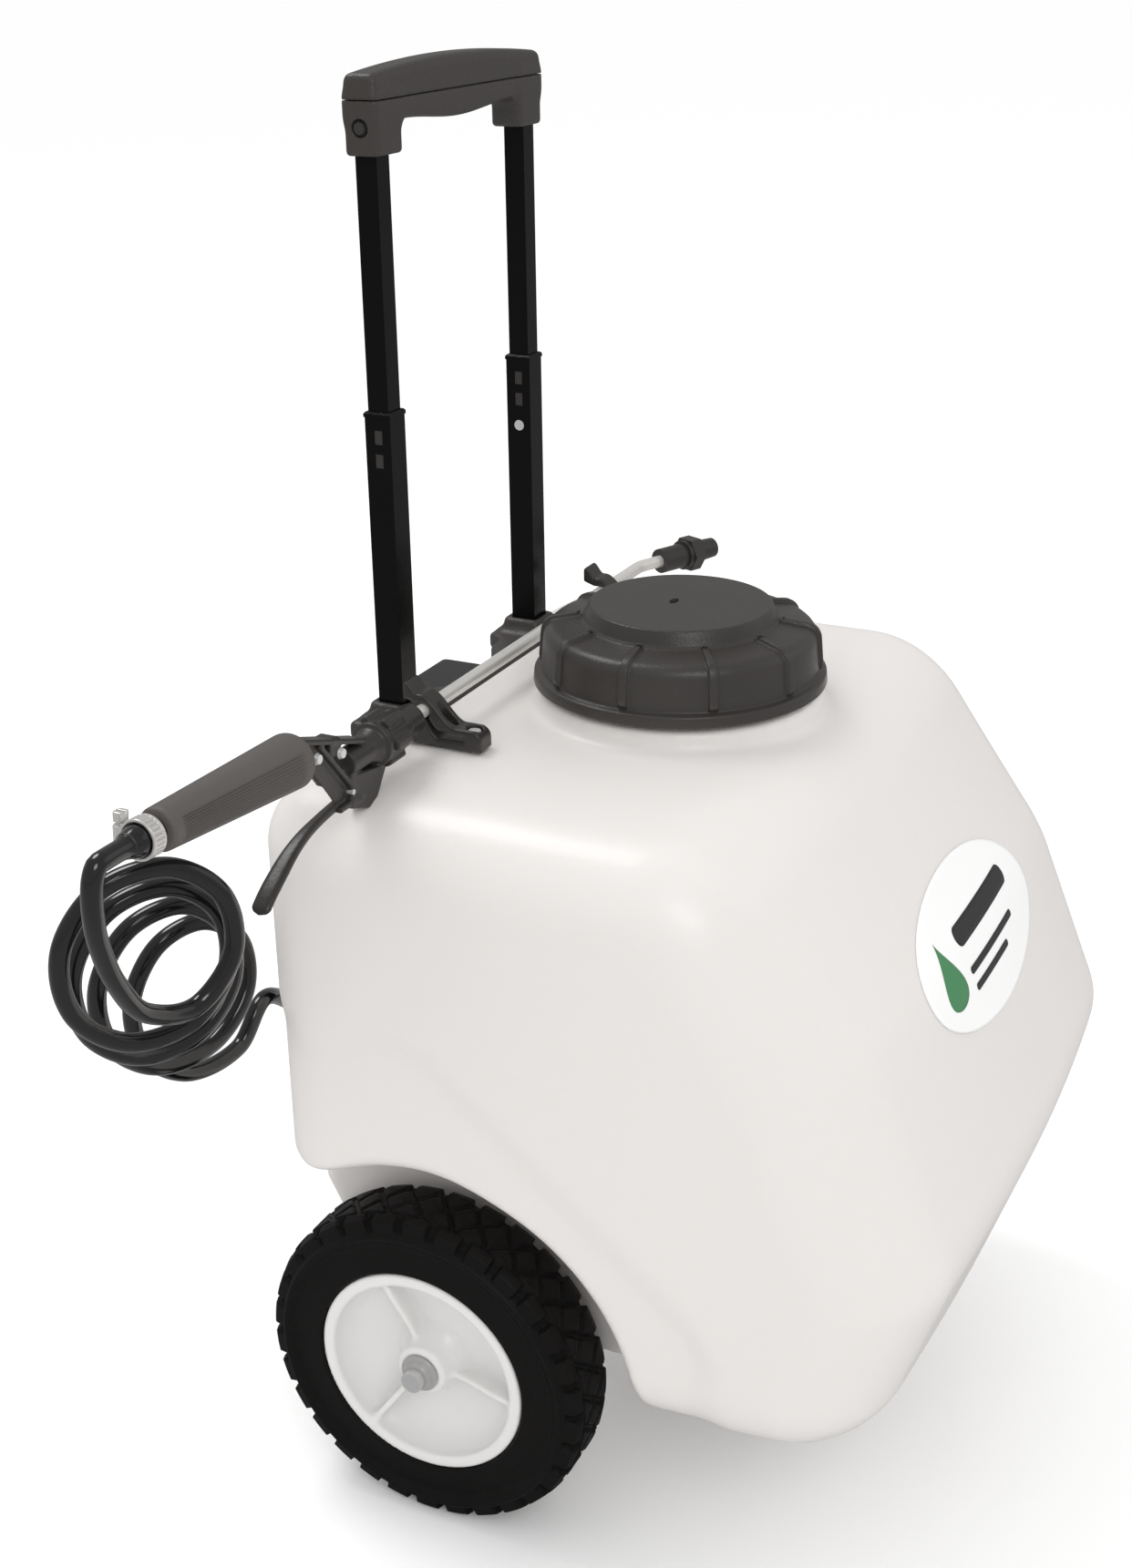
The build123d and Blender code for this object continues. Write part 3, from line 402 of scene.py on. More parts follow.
POLY = surface("natural_polyethylene", (0.70, 0.674, 0.655), 0.34, grain=0.25, grain_scale=260,
               mottle=0.012, mottle_scale=5, subsurface=0.3, scatter_mm=6)
HUB = surface("cream_hub_plastic", (0.68, 0.672, 0.662), 0.3, grain=0.12, mottle=0.02, subsurface=0.25,
              scatter_mm=4)
LID = surface("moulded_lid", (0.036, 0.032, 0.029), 0.34, grain=0.5, grain_scale=900, mottle=0.12,
              rough_spread=0.1)
GRIP = surface("textured_grip", (0.037, 0.032, 0.029), 0.42, grain=0.9, grain_scale=700, mottle=0.1)
NYLON = surface("glass_filled_nylon", (0.028, 0.025, 0.023), 0.34, grain=0.3, grain_scale=600,
                mottle=0.14)
SLEEVE = surface("rubber_sleeve", (0.085, 0.077, 0.072), 0.55, grain=0.4, grain_scale=900, mottle=0.06)
# Near-black rubber for the gasket, pad and switch; on the lid's vent plug the same colour is painted shade
# in place of the hole.
RUBBER_AND_VENT_SHADE = surface("soft_rubber_and_vent_shade", (0.01, 0.01, 0.01), 0.7, grain=0.3, mottle=0.1, specular=0.2)
TYRE = surface("tyre_rubber", (0.006, 0.0053, 0.005), 0.5, grain=0.6, grain_scale=500, mottle=0.2,
               mottle_scale=30, specular=0.13)
PAINT = surface("black_powder_coat", (0.002, 0.002, 0.002), 0.2, grain=0.2, grain_scale=800, mottle=0.1,
                specular=0.16)
HOSE = surface("glossy_hose", (0.005, 0.005, 0.005), 0.14, grain=0.1, grain_scale=300, mottle=0.1,
               coat=0.5)
ZINC = surface("zinc_plate", (0.68, 0.68, 0.68), 0.3, metallic=0.6, grain=0.2, grain_scale=500,
               mottle=0.08)
STEEL = surface("drawn_steel", (0.55, 0.55, 0.55), 0.3, metallic=0.6, grain=0.4, stretch=(0.05, 1, 1),
                mottle=0.08)
ALUMINIUM = surface("brushed_aluminium", (0.74, 0.72, 0.69), 0.26, metallic=0.5, grain=0.35,
                    grain_scale=700, stretch=(0.05, 1, 1), mottle=0.05)
CAP = surface("cast_cap", (0.42, 0.41, 0.4), 0.32, metallic=0.35, grain=0.3, mottle=0.06)
CLAMP = surface("stainless_band", (0.66, 0.65, 0.63), 0.24, metallic=0.6, grain=0.15, mottle=0.08)
PUMP = surface("pump_moulding", (0.02, 0.02, 0.021), 0.4, grain=0.5, grain_scale=700, mottle=0.1)
# Near-black: partly the battery's own black case, partly darkened as painted shade so that it reads as the
# base's shadow.
BATTERY_BLACK_AND_SHADE = surface("battery_case", (0.018, 0.018, 0.02), 0.45, grain=0.4, grain_scale=700, mottle=0.08)
WIRE = surface("wire_jacket", (0.35, 0.015, 0.012), 0.3, grain=0.1, mottle=0.05)
MESHWORK = surface("strainer_plastic", (0.7, 0.7, 0.66), 0.4, grain=0.2, mottle=0.05)
STICKER = surface("sticker_film", (0.86, 0.86, 0.855), 0.3, grain=0.05, mottle=0.01)
INK_DARK = surface("printed_dark", (0.015, 0.015, 0.017), 0.35, grain=0.05, mottle=0.05)
INK_GREEN = surface("printed_green", (0.05, 0.22, 0.085), 0.35, grain=0.05, mottle=0.05)


def strap_material():
    """Woven strap: two crossed waves."""
    material, nodes, links = node_material("woven_strap")
    shader = nodes["Principled BSDF"]
    place = nodes.new("ShaderNodeTexCoord")
    wave = nodes.new("ShaderNodeTexChecker")
    wave.inputs["Scale"].default_value = 900
    wave.inputs["Color1"].default_value = (0.05, 0.05, 0.052, 1)
    wave.inputs["Color2"].default_value = (0.02, 0.02, 0.022, 1)
    links.new(place.outputs["Object"], wave.inputs["Vector"])
    links.new(wave.outputs["Color"], shader.inputs["Base Color"])
    bump = nodes.new("ShaderNodeBump")
    bump.inputs["Distance"].default_value = 0.0005
    links.new(wave.outputs["Fac"], bump.inputs["Height"])
    links.new(bump.outputs["Normal"], shader.inputs["Normal"])
    shader.inputs["Roughness"].default_value = 0.85
    return material


STRAP = strap_material()

# ---------------------------------------------------------------- tank
ROOF_Z = 452.0
PROFILE = [(-262, BOTTOM), (-302, 228), (-256, 340), (-172, ROOF_Z), (BACK, ROOF_Z), (BACK, 178),
           (62, BOTTOM)]
PROFILE_RADII = [56, 46, 120, 80, 32, 14, 14]
CROWN_FRONT, CROWN_TOP = 14.0, 10.0
PANEL_LINE = [(160, 305), (1, 321), (-176, 175), (-178, 60)]
PANEL_DEPTH = 4.0
PANEL_FADE = 26.0
WELL_R, WELL_X, WELL_Y, WELL_Z = 124.0, 160.0, -8.0, 108.0
WELL_BACK_TOP = 210.0
RECESS_X, RECESS_Y, RECESS_FLOOR = 108.0, 42.0, 182.0
COLLAR_R, COLLAR_TOP = 82.0, LID_LOW[2] - 3


def corner_arcs():
    """Middle, radius and the two edge normals of each rounded corner of the side outline."""
    corners = [np.array(point, float) for point in PROFILE]
    arcs = []
    for i, radius in enumerate(PROFILE_RADII):
        before, here, after = corners[i - 1], corners[i], corners[(i + 1) % len(corners)]
        first, second = [np.array([-way[1], way[0]]) / np.linalg.norm(way)
                         for way in (here - before, after - here)]
        arcs.append((here - radius * (first + second) / (1 + first @ second), radius, first, second))
    return arcs


ARCS = corner_arcs()


def tank_profile(y, z):
    """The tank's side outline: inside every edge, and inside each corner's arc where that arc rules."""
    shape = edge_side(y, z, PROFILE[-1], PROFILE[0])
    for start, end in zip(PROFILE[:-1], PROFILE[1:]):
        shape = np.maximum(shape, edge_side(y, z, start, end))
    for middle, radius, first, second in ARCS:
        u, v = y - middle[0], z - middle[1]
        ruled = (first[0] * v - first[1] * u <= 0) & (u * second[1] - v * second[0] <= 0)
        shape = np.where(ruled, np.maximum(shape, np.hypot(u, v) - radius), shape)
    return shape


def side_panel(y, z):
    """How far the sides step in below the moulded crease."""
    region = edge_side(y, z, PANEL_LINE[1], PANEL_LINE[0])
    region = meet(region, edge_side(y, z, PANEL_LINE[2], PANEL_LINE[1]), 14)
    region = meet(region, edge_side(y, z, PANEL_LINE[3], PANEL_LINE[2]), 14)
    return PANEL_DEPTH * smooth(-region / PANEL_FADE + 0.5)


LIP, LIP_Z = 11.0, 436.0


def tank_skin(x, y, z):
    """The outside of the tank: outline, crowned faces, wheel wells, rear bay and neck collar."""
    front = smooth(-y / 200) * CROWN_FRONT * (x / HALF_X) ** 2
    top = CROWN_TOP * np.abs(x / HALF_X) ** 3
    body = tank_profile(y - front, z + top)
    corner = 42 + 16 * smooth((-y - 120) / 140)
    body = meet(body, np.abs(x) - HALF_X + side_panel(y, z), corner)
    arch = np.sqrt((y - WELL_Y) ** 2 + (z - WELL_Z) ** 2) - WELL_R
    behind = meet(z - WELL_BACK_TOP, WELL_Y - y)
    well = meet(join(arch, behind, 14), WELL_X - np.abs(x), 8)
    body = cut(body, well, 13 - 6 * smooth(-y / 60))
    lip = RECESS_Y + LIP * smooth((z - LIP_Z) / 4)
    bay = meet(meet(np.abs(x) - RECESS_X, lip - y, 12), RECESS_FLOOR - z, 12)
    body = cut(body, bay, 6)
    across = np.sqrt(x ** 2 + (y - LID_Y) ** 2)
    return join(body, barrel(z, across, 380, COLLAR_TOP, COLLAR_R, 4), 7)


tank = carve("tank_skin", tank_skin, TANK_LOW, TANK_HIGH, step(3.5))
dress(tank, "tank", POLY, "tank_shell")

NECK_R, NECK_BORE, NECK_TOP = 73.0, 66.0, 492.0
THREAD_PITCH = 6.0


def tank_neck():
    """The filler neck with a moulded screw thread round it."""
    columns = 240
    angle = circle_steps(columns)
    rows = []
    for z in np.arange(COLLAR_TOP - 6, NECK_TOP - 1, 0.6):
        phase = ((z - COLLAR_TOP) / THREAD_PITCH - angle / (2 * math.pi)) % 1
        ridge = smooth(1 - np.abs(phase - 0.5) / 0.3) * smooth((z - COLLAR_TOP) / 2)
        ridge = ridge * smooth((NECK_TOP - 3 - z) / 3)
        rows.append((NECK_R - 1.2 + 1.2 * ridge, np.full(columns, z)))
    for radius, z in ((NECK_R - 1.4, NECK_TOP - 0.6), (NECK_R - 2, NECK_TOP), (NECK_BORE + 1, NECK_TOP),
                      (NECK_BORE, NECK_TOP - 1), (NECK_BORE, COLLAR_TOP - 6)):
        rows.append((np.full(columns, radius), np.full(columns, z)))
    points = [np.stack([r * np.cos(angle), LID_Y + r * np.sin(angle), z], axis=1) for r, z in rows]
    return new_piece("tank_neck", np.concatenate(points), ring_faces(len(rows), columns, wrap_rows=True))


dress(tank_neck(), "tank", POLY)

# ---------------------------------------------------------------- lid
LID_Z = LID_LOW[2]
LID_TOP = LID_HIGH[2]
FLANGE_R, WALL_R, DISC_R = 84.7, 79.5, 52.4
SHOULDER_Z = LID_Z + 33
LID_RIBS = 10
RIB_HALF, RIB_RISE = 2.4, 2.2


def filler_lid():
    """The lid as one turned skin whose wall, shoulder and slope carry the ribs."""
    outer = rounded_profile([(0, LID_TOP, 0), (DISC_R, LID_TOP, 1.5),
                             (DISC_R + 3.2, SHOULDER_Z + 4.5, 1.2), (DISC_R + 5, SHOULDER_Z + 2.5, 1.0),
                             (WALL_R - 1.5, SHOULDER_Z - 1, 8),
                             (WALL_R + 0.6, LID_Z + 7.5, 1.2), (FLANGE_R - 0.6, LID_Z + 6.4, 1.4),
                             (FLANGE_R, LID_Z, 0.8), (NECK_R + 1.5, LID_Z, 0.6),
                             (NECK_R + 1.5, NECK_TOP + 3.4, 1), (0, NECK_TOP + 3.4, 0)], 6)
    outer = refine(outer, 2.5)
    outer[0, 0] = outer[-1, 0] = 0.01
    tangent = np.gradient(outer, axis=0)
    normal = np.stack([-tangent[:, 1], tangent[:, 0]], axis=1)
    normal /= np.maximum(np.linalg.norm(normal, axis=1), 1e-6)[:, None]
    normal *= np.where(normal[:, :1] + normal[:, 1:] < 0, -1, 1)
    radius, height = outer.T
    on_ribs = smooth((radius - DISC_R - 3.4) / 1.5) * smooth((height - LID_Z - 7.5) / 1.5)
    on_ribs *= (np.arange(len(outer)) < len(outer) * 0.75) & (radius > NECK_R - 18)
    sector = 2 * math.pi / LID_RIBS
    marks = np.array([-4.5, -3.4, -2.9, -2.5, -2.1, -1.6, 0, 1.6, 2.1, 2.5, 2.9, 3.4, 4.5]) / WALL_R
    spread = np.linspace(4.5 / WALL_R, sector - 4.5 / WALL_R, 14)[1:-1]
    one_rib = np.concatenate([marks, spread])
    angle = np.concatenate([one_rib + i * sector for i in range(LID_RIBS)])
    offset = (angle + sector / 2) % sector - sector / 2
    points = []
    for r, z, n, on in zip(radius, height, normal, on_ribs):
        rib = RIB_RISE * on * smooth(RIB_HALF + 0.6 - np.abs(offset) * WALL_R)
        rr, zz = r + n[0] * rib, z + n[1] * rib
        points.append(np.stack([rr * np.cos(angle), LID_Y + rr * np.sin(angle), zz + 0 * angle], axis=1))
    points = np.concatenate(points)
    faces = ring_faces(len(radius), len(angle)) + end_faces(len(angle), len(points))
    piece = new_piece("ribbed_lid", points, faces)
    piece.data.flip_normals()
    return piece


dress(filler_lid(), "lid", LID, "filler_lid")


def painted_vent_shade():
    """A dark, slightly countersunk plug near the lid's middle: painted shade standing in for the inside of
    the vent hole.
    """
    path = [(0, LID_Y + 4, LID_TOP + 0.15), (0, LID_Y + 4, LID_TOP - 1.5)]
    points, faces = tube_along(path, [2.3, 1.6], 24)
    return new_piece("painted_vent_shade", points * (1.9, 1, 1), faces)


# The vent plug's near-black is painted shade where the lid's vent hole is.
dress(painted_vent_shade(), "lid", RUBBER_AND_VENT_SHADE)

# ---------------------------------------------------------------- wheels
TYRE_HIGH = box_mm("tyre_right")[1]
FACE_X = TYRE_HIGH[0] - 2.7
TYRE_R = AXLE_Z
TYRE_W = 44.0
LUGS = 30
HUB_REACH = 66


def tyre_points(columns=900):
    """Half outline of the tyre turned round the axle, with lugs at both shoulders and diamonds between."""
    outer, inner = FACE_X, FACE_X - TYRE_W
    outline = rounded_profile([(outer - 3, 64.9, 0), (outer + 0.6, 66.5, 1), (outer - 1.2, 84, 4),
                               (outer + 1.2, 87.6, 0.8), (outer + 2.5, 90.2, 1.6), (outer + 0.2, 92.2, 1),
                               (outer - 1.6, 99.0, 2.2), (outer - 9, TYRE_R, 3), (inner + 9, TYRE_R, 3),
                               (inner + 1.6, 99.0, 2.2), (inner, 90, 3), (inner + 1, 66.5, 1),
                               (inner + 3, 64.9, 0)], 5)
    line = refine(outline, 0.9)
    tangent = np.gradient(line, axis=0)
    normal = np.stack([tangent[:, 1], -tangent[:, 0]], axis=1)
    normal /= np.linalg.norm(normal, axis=1)[:, None]
    centre = np.array([(outer + inner) / 2, 80])
    flip = ((line - centre) * normal).sum(axis=1) < 0
    normal[flip] *= -1
    angle = circle_steps(columns)
    turn = angle / (2 * math.pi) * LUGS
    points = []
    for (x, r), n in zip(line, normal):
        across = (x - (outer + inner) / 2) / (TYRE_W / 2)
        depth = np.zeros(columns)
        if r > 92.5:
            if abs(across) > 0.62:
                phase = (turn + (0 if across > 0 else 0.5)) % 1
                gap = smooth((0.16 - np.abs(phase - 0.5)) / 0.04)
                depth = 3.4 * gap * smooth((r - 92.5) / 1.2)
            else:
                a, b = (turn + across * 0.9) % 1, (turn - across * 0.9) % 1
                depth = 2.6 * np.maximum(smooth((0.13 - np.abs(a - 0.5)) / 0.05),
                                         smooth((0.13 - np.abs(b - 0.5)) / 0.05))
            edge = smooth((0.045 - abs(abs(across) - 0.62)) / 0.02)
            depth = np.maximum(depth, 0.9 * edge)
        xx, rr = x - n[0] * depth, r - n[1] * depth
        points.append(np.stack([xx + 0 * angle, rr * np.sin(angle), AXLE_Z + rr * np.cos(angle)], axis=1))
    return np.concatenate(points), ring_faces(len(points), columns, wrap_rows=True)


def hub_solid(x, y, z):
    """A dished hub: rim, sloping web, three ribs that fade into a boss."""
    u = np.abs(x) - FACE_X
    across = np.sqrt(y ** 2 + (z - AXLE_Z) ** 2)
    rim = cut(barrel(u, across, -TYRE_W, 0, 64.9, 1.5), barrel(u, across, -TYRE_W - 9, 9, 57.5), 1.5)
    dish = -19 + 8 * smooth((across - 30) / 34) + 6 * smooth((26 - across) / 14)
    web = meet(across - 59, np.abs(u - dish + 2.5) - 2.5, 0.5)
    boss = barrel(u, across, -TYRE_W + 1, -1.5, 15.5, 3)
    hub = join(join(rim, web, 9), boss, 10)
    for i in range(3):
        turn = math.radians(-54 + 120 * i)
        along = (z - AXLE_Z) * math.sin(turn) + y * math.cos(turn)
        side = (z - AXLE_Z) * math.cos(turn) - y * math.sin(turn)
        crest = -3.5 - 5 * smooth((58 - across) / 40)
        rib = meet(meet(np.abs(side) - 1.8, -along, 0), meet(u - crest, dish - 4 - u), 1.2)
        rib = meet(rib, across - 60)
        hub = join(hub, rib, 4)
    return cut(hub, across - 6.5)


def wheel(side, word):
    """One tyre and one hub."""
    points, faces = tyre_points(step(900))
    points[:, 0] *= side
    tyre = new_piece("tyre_" + word + "_tread", points, faces)
    face_outwards(tyre)
    dress(tyre, "wheel_" + word, TYRE, "tyre_" + word)
    x0, x1 = sorted((side * (FACE_X - TYRE_W), side * FACE_X))
    low, high = (x0, -HUB_REACH, AXLE_Z - HUB_REACH), (x1, HUB_REACH, AXLE_Z + HUB_REACH)
    hub = carve("hub_" + word + "_dish", hub_solid, low, high, step(1.5))
    dress(hub, "wheel_" + word, HUB, "hub_" + word)


wheel(-1, "left")
wheel(1, "right")


CAP_SIDES = 48


def axle_end(side):
    """Points and faces of a flanged, domed push-on cap."""
    profile = rounded_profile([(0.01, 0, 0), (11.6, 0, 0), (11.6, 2.0, 0.9), (9.0, 2.8, 0.6),
                               (8.6, 5.6, 1.8), (0.01, 6.4, 0)], 4)
    angle = circle_steps(CAP_SIDES)
    points = []
    for r, h in profile:
        x = np.full(CAP_SIDES, side * (FACE_X - 1.2 + h))
        points.append(np.stack([x, r * np.sin(angle), AXLE_Z + r * np.cos(angle)], axis=1))
    points = np.concatenate(points)
    faces = ring_faces(len(profile), CAP_SIDES) + end_faces(CAP_SIDES, len(points))
    if side > 0:
        faces = [f[::-1] for f in faces]
    return points, faces


def axle_caps():
    """Both caps as one piece."""
    left, left_faces = axle_end(-1)
    right, right_faces = axle_end(1)
    right_faces = [tuple(i + len(left) for i in f) for f in right_faces]
    return new_piece("push_caps", np.vstack([left, right]), left_faces + right_faces)


dress(axle_caps(), "tank", CAP, "axle_caps", "axle_washers")

# ---------------------------------------------------------------- sticker on the front
STICKER_X, STICKER_UP = 94.0, 42.0
FRONT_LEAN = math.radians(24)
STICKER_Z = 339.0


def front_point(u, v, lift):
    """A point of the front face, u across and v up the face from the sticker's middle."""
    x = np.asarray(u, float)
    z = STICKER_Z + np.asarray(v, float) * math.cos(FRONT_LEAN)
    outer, inner = np.full(x.shape, -340.0), np.full(x.shape, -140.0)
    for _ in range(30):
        y = (outer + inner) / 2
        inside = tank_skin(x, y, z) < 0
        outer, inner = np.where(inside, outer, y), np.where(inside, y, inner)
    return np.stack([x, y - lift * math.cos(FRONT_LEAN), z + lift * math.sin(FRONT_LEAN)], axis=1)


def decal(name, u, v, faces, lift, thick):
    """A thin closed sheet on the front face, from a flat (u, v) mesh."""
    top, bottom = front_point(u, v, lift + thick), front_point(u, v, lift - 0.2)
    count = len(u)
    edges = {}
    for face in faces:
        for a, b in zip(face, face[1:] + face[:1]):
            edges[(a, b)] = edges.get((a, b), 0) + 1
    rims = [(a, b) for a, b in edges if (b, a) not in edges]
    all_faces = list(faces) + [tuple(i + count for i in f[::-1]) for f in faces]
    all_faces += [(b, a, a + count, b + count) for a, b in rims]
    piece = new_piece(name, np.vstack([top, bottom]), all_faces)
    face_outwards(piece)
    return piece


def disc_mesh(outline, rings=14):
    """A flat mesh that fills a closed outline round its middle."""
    outline = np.asarray(outline, float)
    middle = outline.mean(axis=0)
    count = len(outline)
    u, v, faces = [middle[0]], [middle[1]], []
    for i in range(1, rings + 1):
        ring = middle + (outline - middle) * i / rings
        u += list(ring[:, 0])
        v += list(ring[:, 1])
    for j in range(count):
        faces.append((0, 1 + j, 1 + (j + 1) % count))
    for i in range(rings - 1):
        a0, b0 = 1 + i * count, 1 + (i + 1) * count
        for j in range(count):
            k = (j + 1) % count
            faces.append((a0 + j, b0 + j, b0 + k, a0 + k))
    return np.array(u), np.array(v), faces


def oval(a, b):
    """Outline of an ellipse."""
    t = circle_steps(96)
    return np.stack([a * np.cos(t), b * np.sin(t)], axis=1)


def bar_mesh(u0, u1, v0, v1, columns=40):
    """A flat rounded bar, as columns whose height follows its round ends."""
    r = (v1 - v0) / 2
    t = np.linspace(0, math.pi, columns)
    u = (u0 + u1) / 2 - (u1 - u0) / 2 * np.cos(t)
    inset = np.maximum(r - np.minimum(u - u0, u1 - u), 0)
    half = np.sqrt(np.maximum(r * r - inset * inset, 0.01))
    middle = (v0 + v1) / 2
    rows = 5
    across = np.linspace(-1, 1, rows)
    uu = np.repeat(u, rows)
    vv = (middle + half[:, None] * across[None, :]).ravel()
    faces = [(i * rows + j, (i + 1) * rows + j, (i + 1) * rows + j + 1, i * rows + j + 1)
             for i in range(columns - 1) for j in range(rows - 1)]
    return uu, vv, faces


def droplet(size, u0, v0):
    """Outline of a drop with its point up."""
    t = np.linspace(0, 2 * math.pi, 60, endpoint=False)
    return np.stack([u0 + size * np.sin(t) * np.sin(t / 2) ** 2 * 1.1, v0 + size * np.cos(t)], axis=1)


STICKER_BARS = ((-36, 62, 12, 5.5), (-36, 46, -7, 2.1), (-36, 26, -17, 2.1))    # ends, middle, half height


def front_sticker():
    """The oval label with a droplet and three plain bars."""
    film = decal("oval_sticker", *disc_mesh(oval(STICKER_X, STICKER_UP), 26), 0.3, 0.35)
    dress(film, "tank", STICKER, "front_label")
    drop = decal("sticker_droplet", *disc_mesh(droplet(19, -60, 1), 8), 0.75, 0.15)
    dress(drop, "tank", INK_GREEN)
    for i, (u0, u1, v, half) in enumerate(STICKER_BARS):
        bar = decal("sticker_bar_%d" % (i + 1), *bar_mesh(u0, u1, v - half, v + half), 0.75, 0.15)
        dress(bar, "tank", INK_DARK)


front_sticker()

# ---------------------------------------------------------------- handle
GRIP_LOW, _ = box_mm("grip_lower")
_, GRIP_HIGH = box_mm("grip_upper")
PARTING = box_mm("grip_upper")[0][2]
POST_Y = (GRIP_LOW[1] + GRIP_HIGH[1]) / 2
POST_X = 83.0


def grip_form(x, y, z):
    """Both grip halves as one form: an arched bar with a leg over each tube."""
    crown = 5.0 * (1 - (x / GRIP_HIGH[0]) ** 2)
    bar = meet(z - (GRIP_HIGH[2] - 5.2) - crown, np.abs(x) - GRIP_HIGH[0], 5)
    belly = 776 - 3.5 * np.cos(np.clip(x / 60, -1, 1) * math.pi / 2) ** 2
    bar = meet(bar, belly - z, 5)
    bar = meet(bar, np.abs(y - POST_Y) - 10.8, 6)
    leg = meet(np.abs(np.abs(x) - 80.5) - 14.5, np.abs(y - POST_Y) - 10.8, 5)
    leg = meet(leg, np.abs(z - 775) - 15, 2.5)
    grip = join(bar, leg, 7)
    grip = meet(meet(grip, np.abs(x) - GRIP_HIGH[0], 3), np.abs(y - POST_Y) - 10.8, 3)
    bore = meet(meet(np.abs(np.abs(x) - POST_X) - 6.4, np.abs(y - POST_Y) - 6.4), z - 784)
    grip = cut(grip, bore)
    sink = meet(np.sqrt((z - 774) ** 2 + (y - POST_Y) ** 2) - 4.6, 92 - np.abs(x))
    return cut(grip, sink, 0.8)


def grip_half(name, upper, node):
    """The part of the grip above or below the parting line."""
    def solid(x, y, z):
        form = grip_form(x, y, z)
        part = PARTING + 0.2 - z if upper else z - PARTING + 0.2
        return meet(form, part, 0.7)
    low = (GRIP_LOW[0], GRIP_LOW[1], PARTING if upper else GRIP_LOW[2])
    high = (GRIP_HIGH[0], GRIP_HIGH[1], GRIP_HIGH[2] if upper else PARTING)
    piece = carve(name, solid, low, high, step(1.0))
    dress(piece, "handle_top", GRIP, node)


grip_half("grip_cap", True, "grip_upper")
grip_half("grip_shell", False, "grip_lower")

BASE_LOW, BASE_HIGH = box_mm("handle_base")


def base_form(x, y, z):
    """The base moulding: a bridge with a waisted back edge, and a flared socket round each post."""
    reach = 70 + 9.5 * smooth((np.abs(x) - 28) / 18) + 12 * smooth((np.abs(x) - 54) / 12)
    bridge = brick(x, y, z, (BASE_LOW[0], RECESS_Y + LIP - 1, 440), (BASE_HIGH[0], BASE_HIGH[1], 451), 3.5)
    bridge = meet(bridge, y - reach, 3.5)
    side = np.abs(x) - POST_X
    flare = 13.9 - (z - 440) * 0.05
    socket = meet(np.abs(side) - flare, np.abs(y - POST_Y) - flare, 5)
    socket = meet(socket, np.abs(z - 436) - 24, 3)
    form = join(bridge, socket, 7)
    bore = meet(np.abs(side) - 8.1, np.abs(y - POST_Y) - 8.1)
    return cut(form, bore, 0.5)


base = carve("base_moulding", base_form, BASE_LOW, BASE_HIGH, step(1.5))
dress(base, "tank", GRIP, "handle_base")

# ---------------------------------------------------------------- wand clips
CLIP_X, CLIP_THICK = 115.0, 14.0
CLIP_FLOOR = box_mm("wand_clips")[0][2]


def clip_form(x, y, z):
    """A hook: foot, springy arm with an oval window over a slot, and a flared lip behind the wand."""
    u = np.abs(x) - CLIP_X
    h = z - CLIP_FLOOR
    crest = 12 + 16.8 * smooth((y - 13) / 22) + 6.5 * smooth((y - 37) / 7)
    body = meet(meet(h - crest, -2 - y, 6), y - 45.5, 3)
    wand_gap = np.sqrt((y - WAND_Y) ** 2 + (z - WAND_Z) ** 2) - 4.15
    mouth = meet(np.abs(z - WAND_Z + 0.5) - 4.15 - 0.35 * np.maximum(y - WAND_Y - 5, 0), WAND_Y - y)
    floor = 4.6 + 13 * smooth((y - 24) / 12)
    slot = meet(meet(np.abs(h - floor - 2.2) - 2.2, 8 - y, 2), y - WAND_Y)
    body = cut(body, join(join(wand_gap, mouth), slot, 1), 0.7)
    body = meet(meet(body, -h, 1), np.abs(u) - CLIP_THICK / 2, 1.5)
    window = np.sqrt(((y - 21) / 1.7) ** 2 + u ** 2) - 3.4
    window = meet(window, 7 - h)
    head = np.sqrt((y - 5) ** 2 + u ** 2) - 4.6
    return cut(cut(body, window, 0.8), meet(head, 8 - h), 0.6)


for word, side in (("left", -1), ("right", 1)):
    x0, x1 = sorted((side * (CLIP_X - 8), side * (CLIP_X + 8)))
    clip = carve("wand_clip_" + word, clip_form, (x0, -4, CLIP_FLOOR), (x1, 47, 489),
                 step(0.8))
    dress(clip, "tank", NYLON)
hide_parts("wand_clips")

# ---------------------------------------------------------------- spray gun
SLEEVE_START = np.array([-248.0, WAND_Y, 491.0])
SLEEVE_END = np.array([-361.0, WAND_Y, 498.5])


def gun_sleeve():
    """A tapered rubber sleeve with bands of fine ribs along its sides."""
    axis = SLEEVE_END - SLEEVE_START
    length = np.linalg.norm(axis)
    axis /= length
    up = np.array([0, 0, 1.0]) - axis * axis[2]
    up /= np.linalg.norm(up)
    side = np.cross(axis, up)
    columns = 360
    angle = circle_steps(columns)
    band = smooth((np.abs(np.cos(angle)) - 0.80) / 0.04)
    ribs = 0.5 - 0.5 * np.cos(angle * 54)
    stations = np.concatenate([np.linspace(0, 6, 8), np.linspace(7.5, length - 5, 60),
                               np.linspace(length - 4, length, 5)])
    rows = []
    for s in stations:
        radius = 14.8 + (10.8 - 14.8) * s / length
        radius -= 5.5 * (1 - math.sqrt(max(1 - (1 - min(s / 6, 1)) ** 2, 0)))
        radius -= 1.2 * max(s - length + 1.5, 0) / 1.5
        fade = float(smooth((s - 9) / 3)) * float(smooth((length - 6 - s) / 3))
        r = radius - 0.75 * ribs * band * fade
        around = np.sin(angle)[:, None] * up + np.cos(angle)[:, None] * side
        rows.append(SLEEVE_START + axis * s + r[:, None] * around)
    points = np.concatenate(rows)
    faces = ring_faces(len(rows), columns)
    faces += end_faces(columns, len(points))
    piece = new_piece("ribbed_sleeve", points, faces)
    face_outwards(piece)
    return piece


dress(gun_sleeve(), "spray_gun", SLEEVE, "gun_grip")


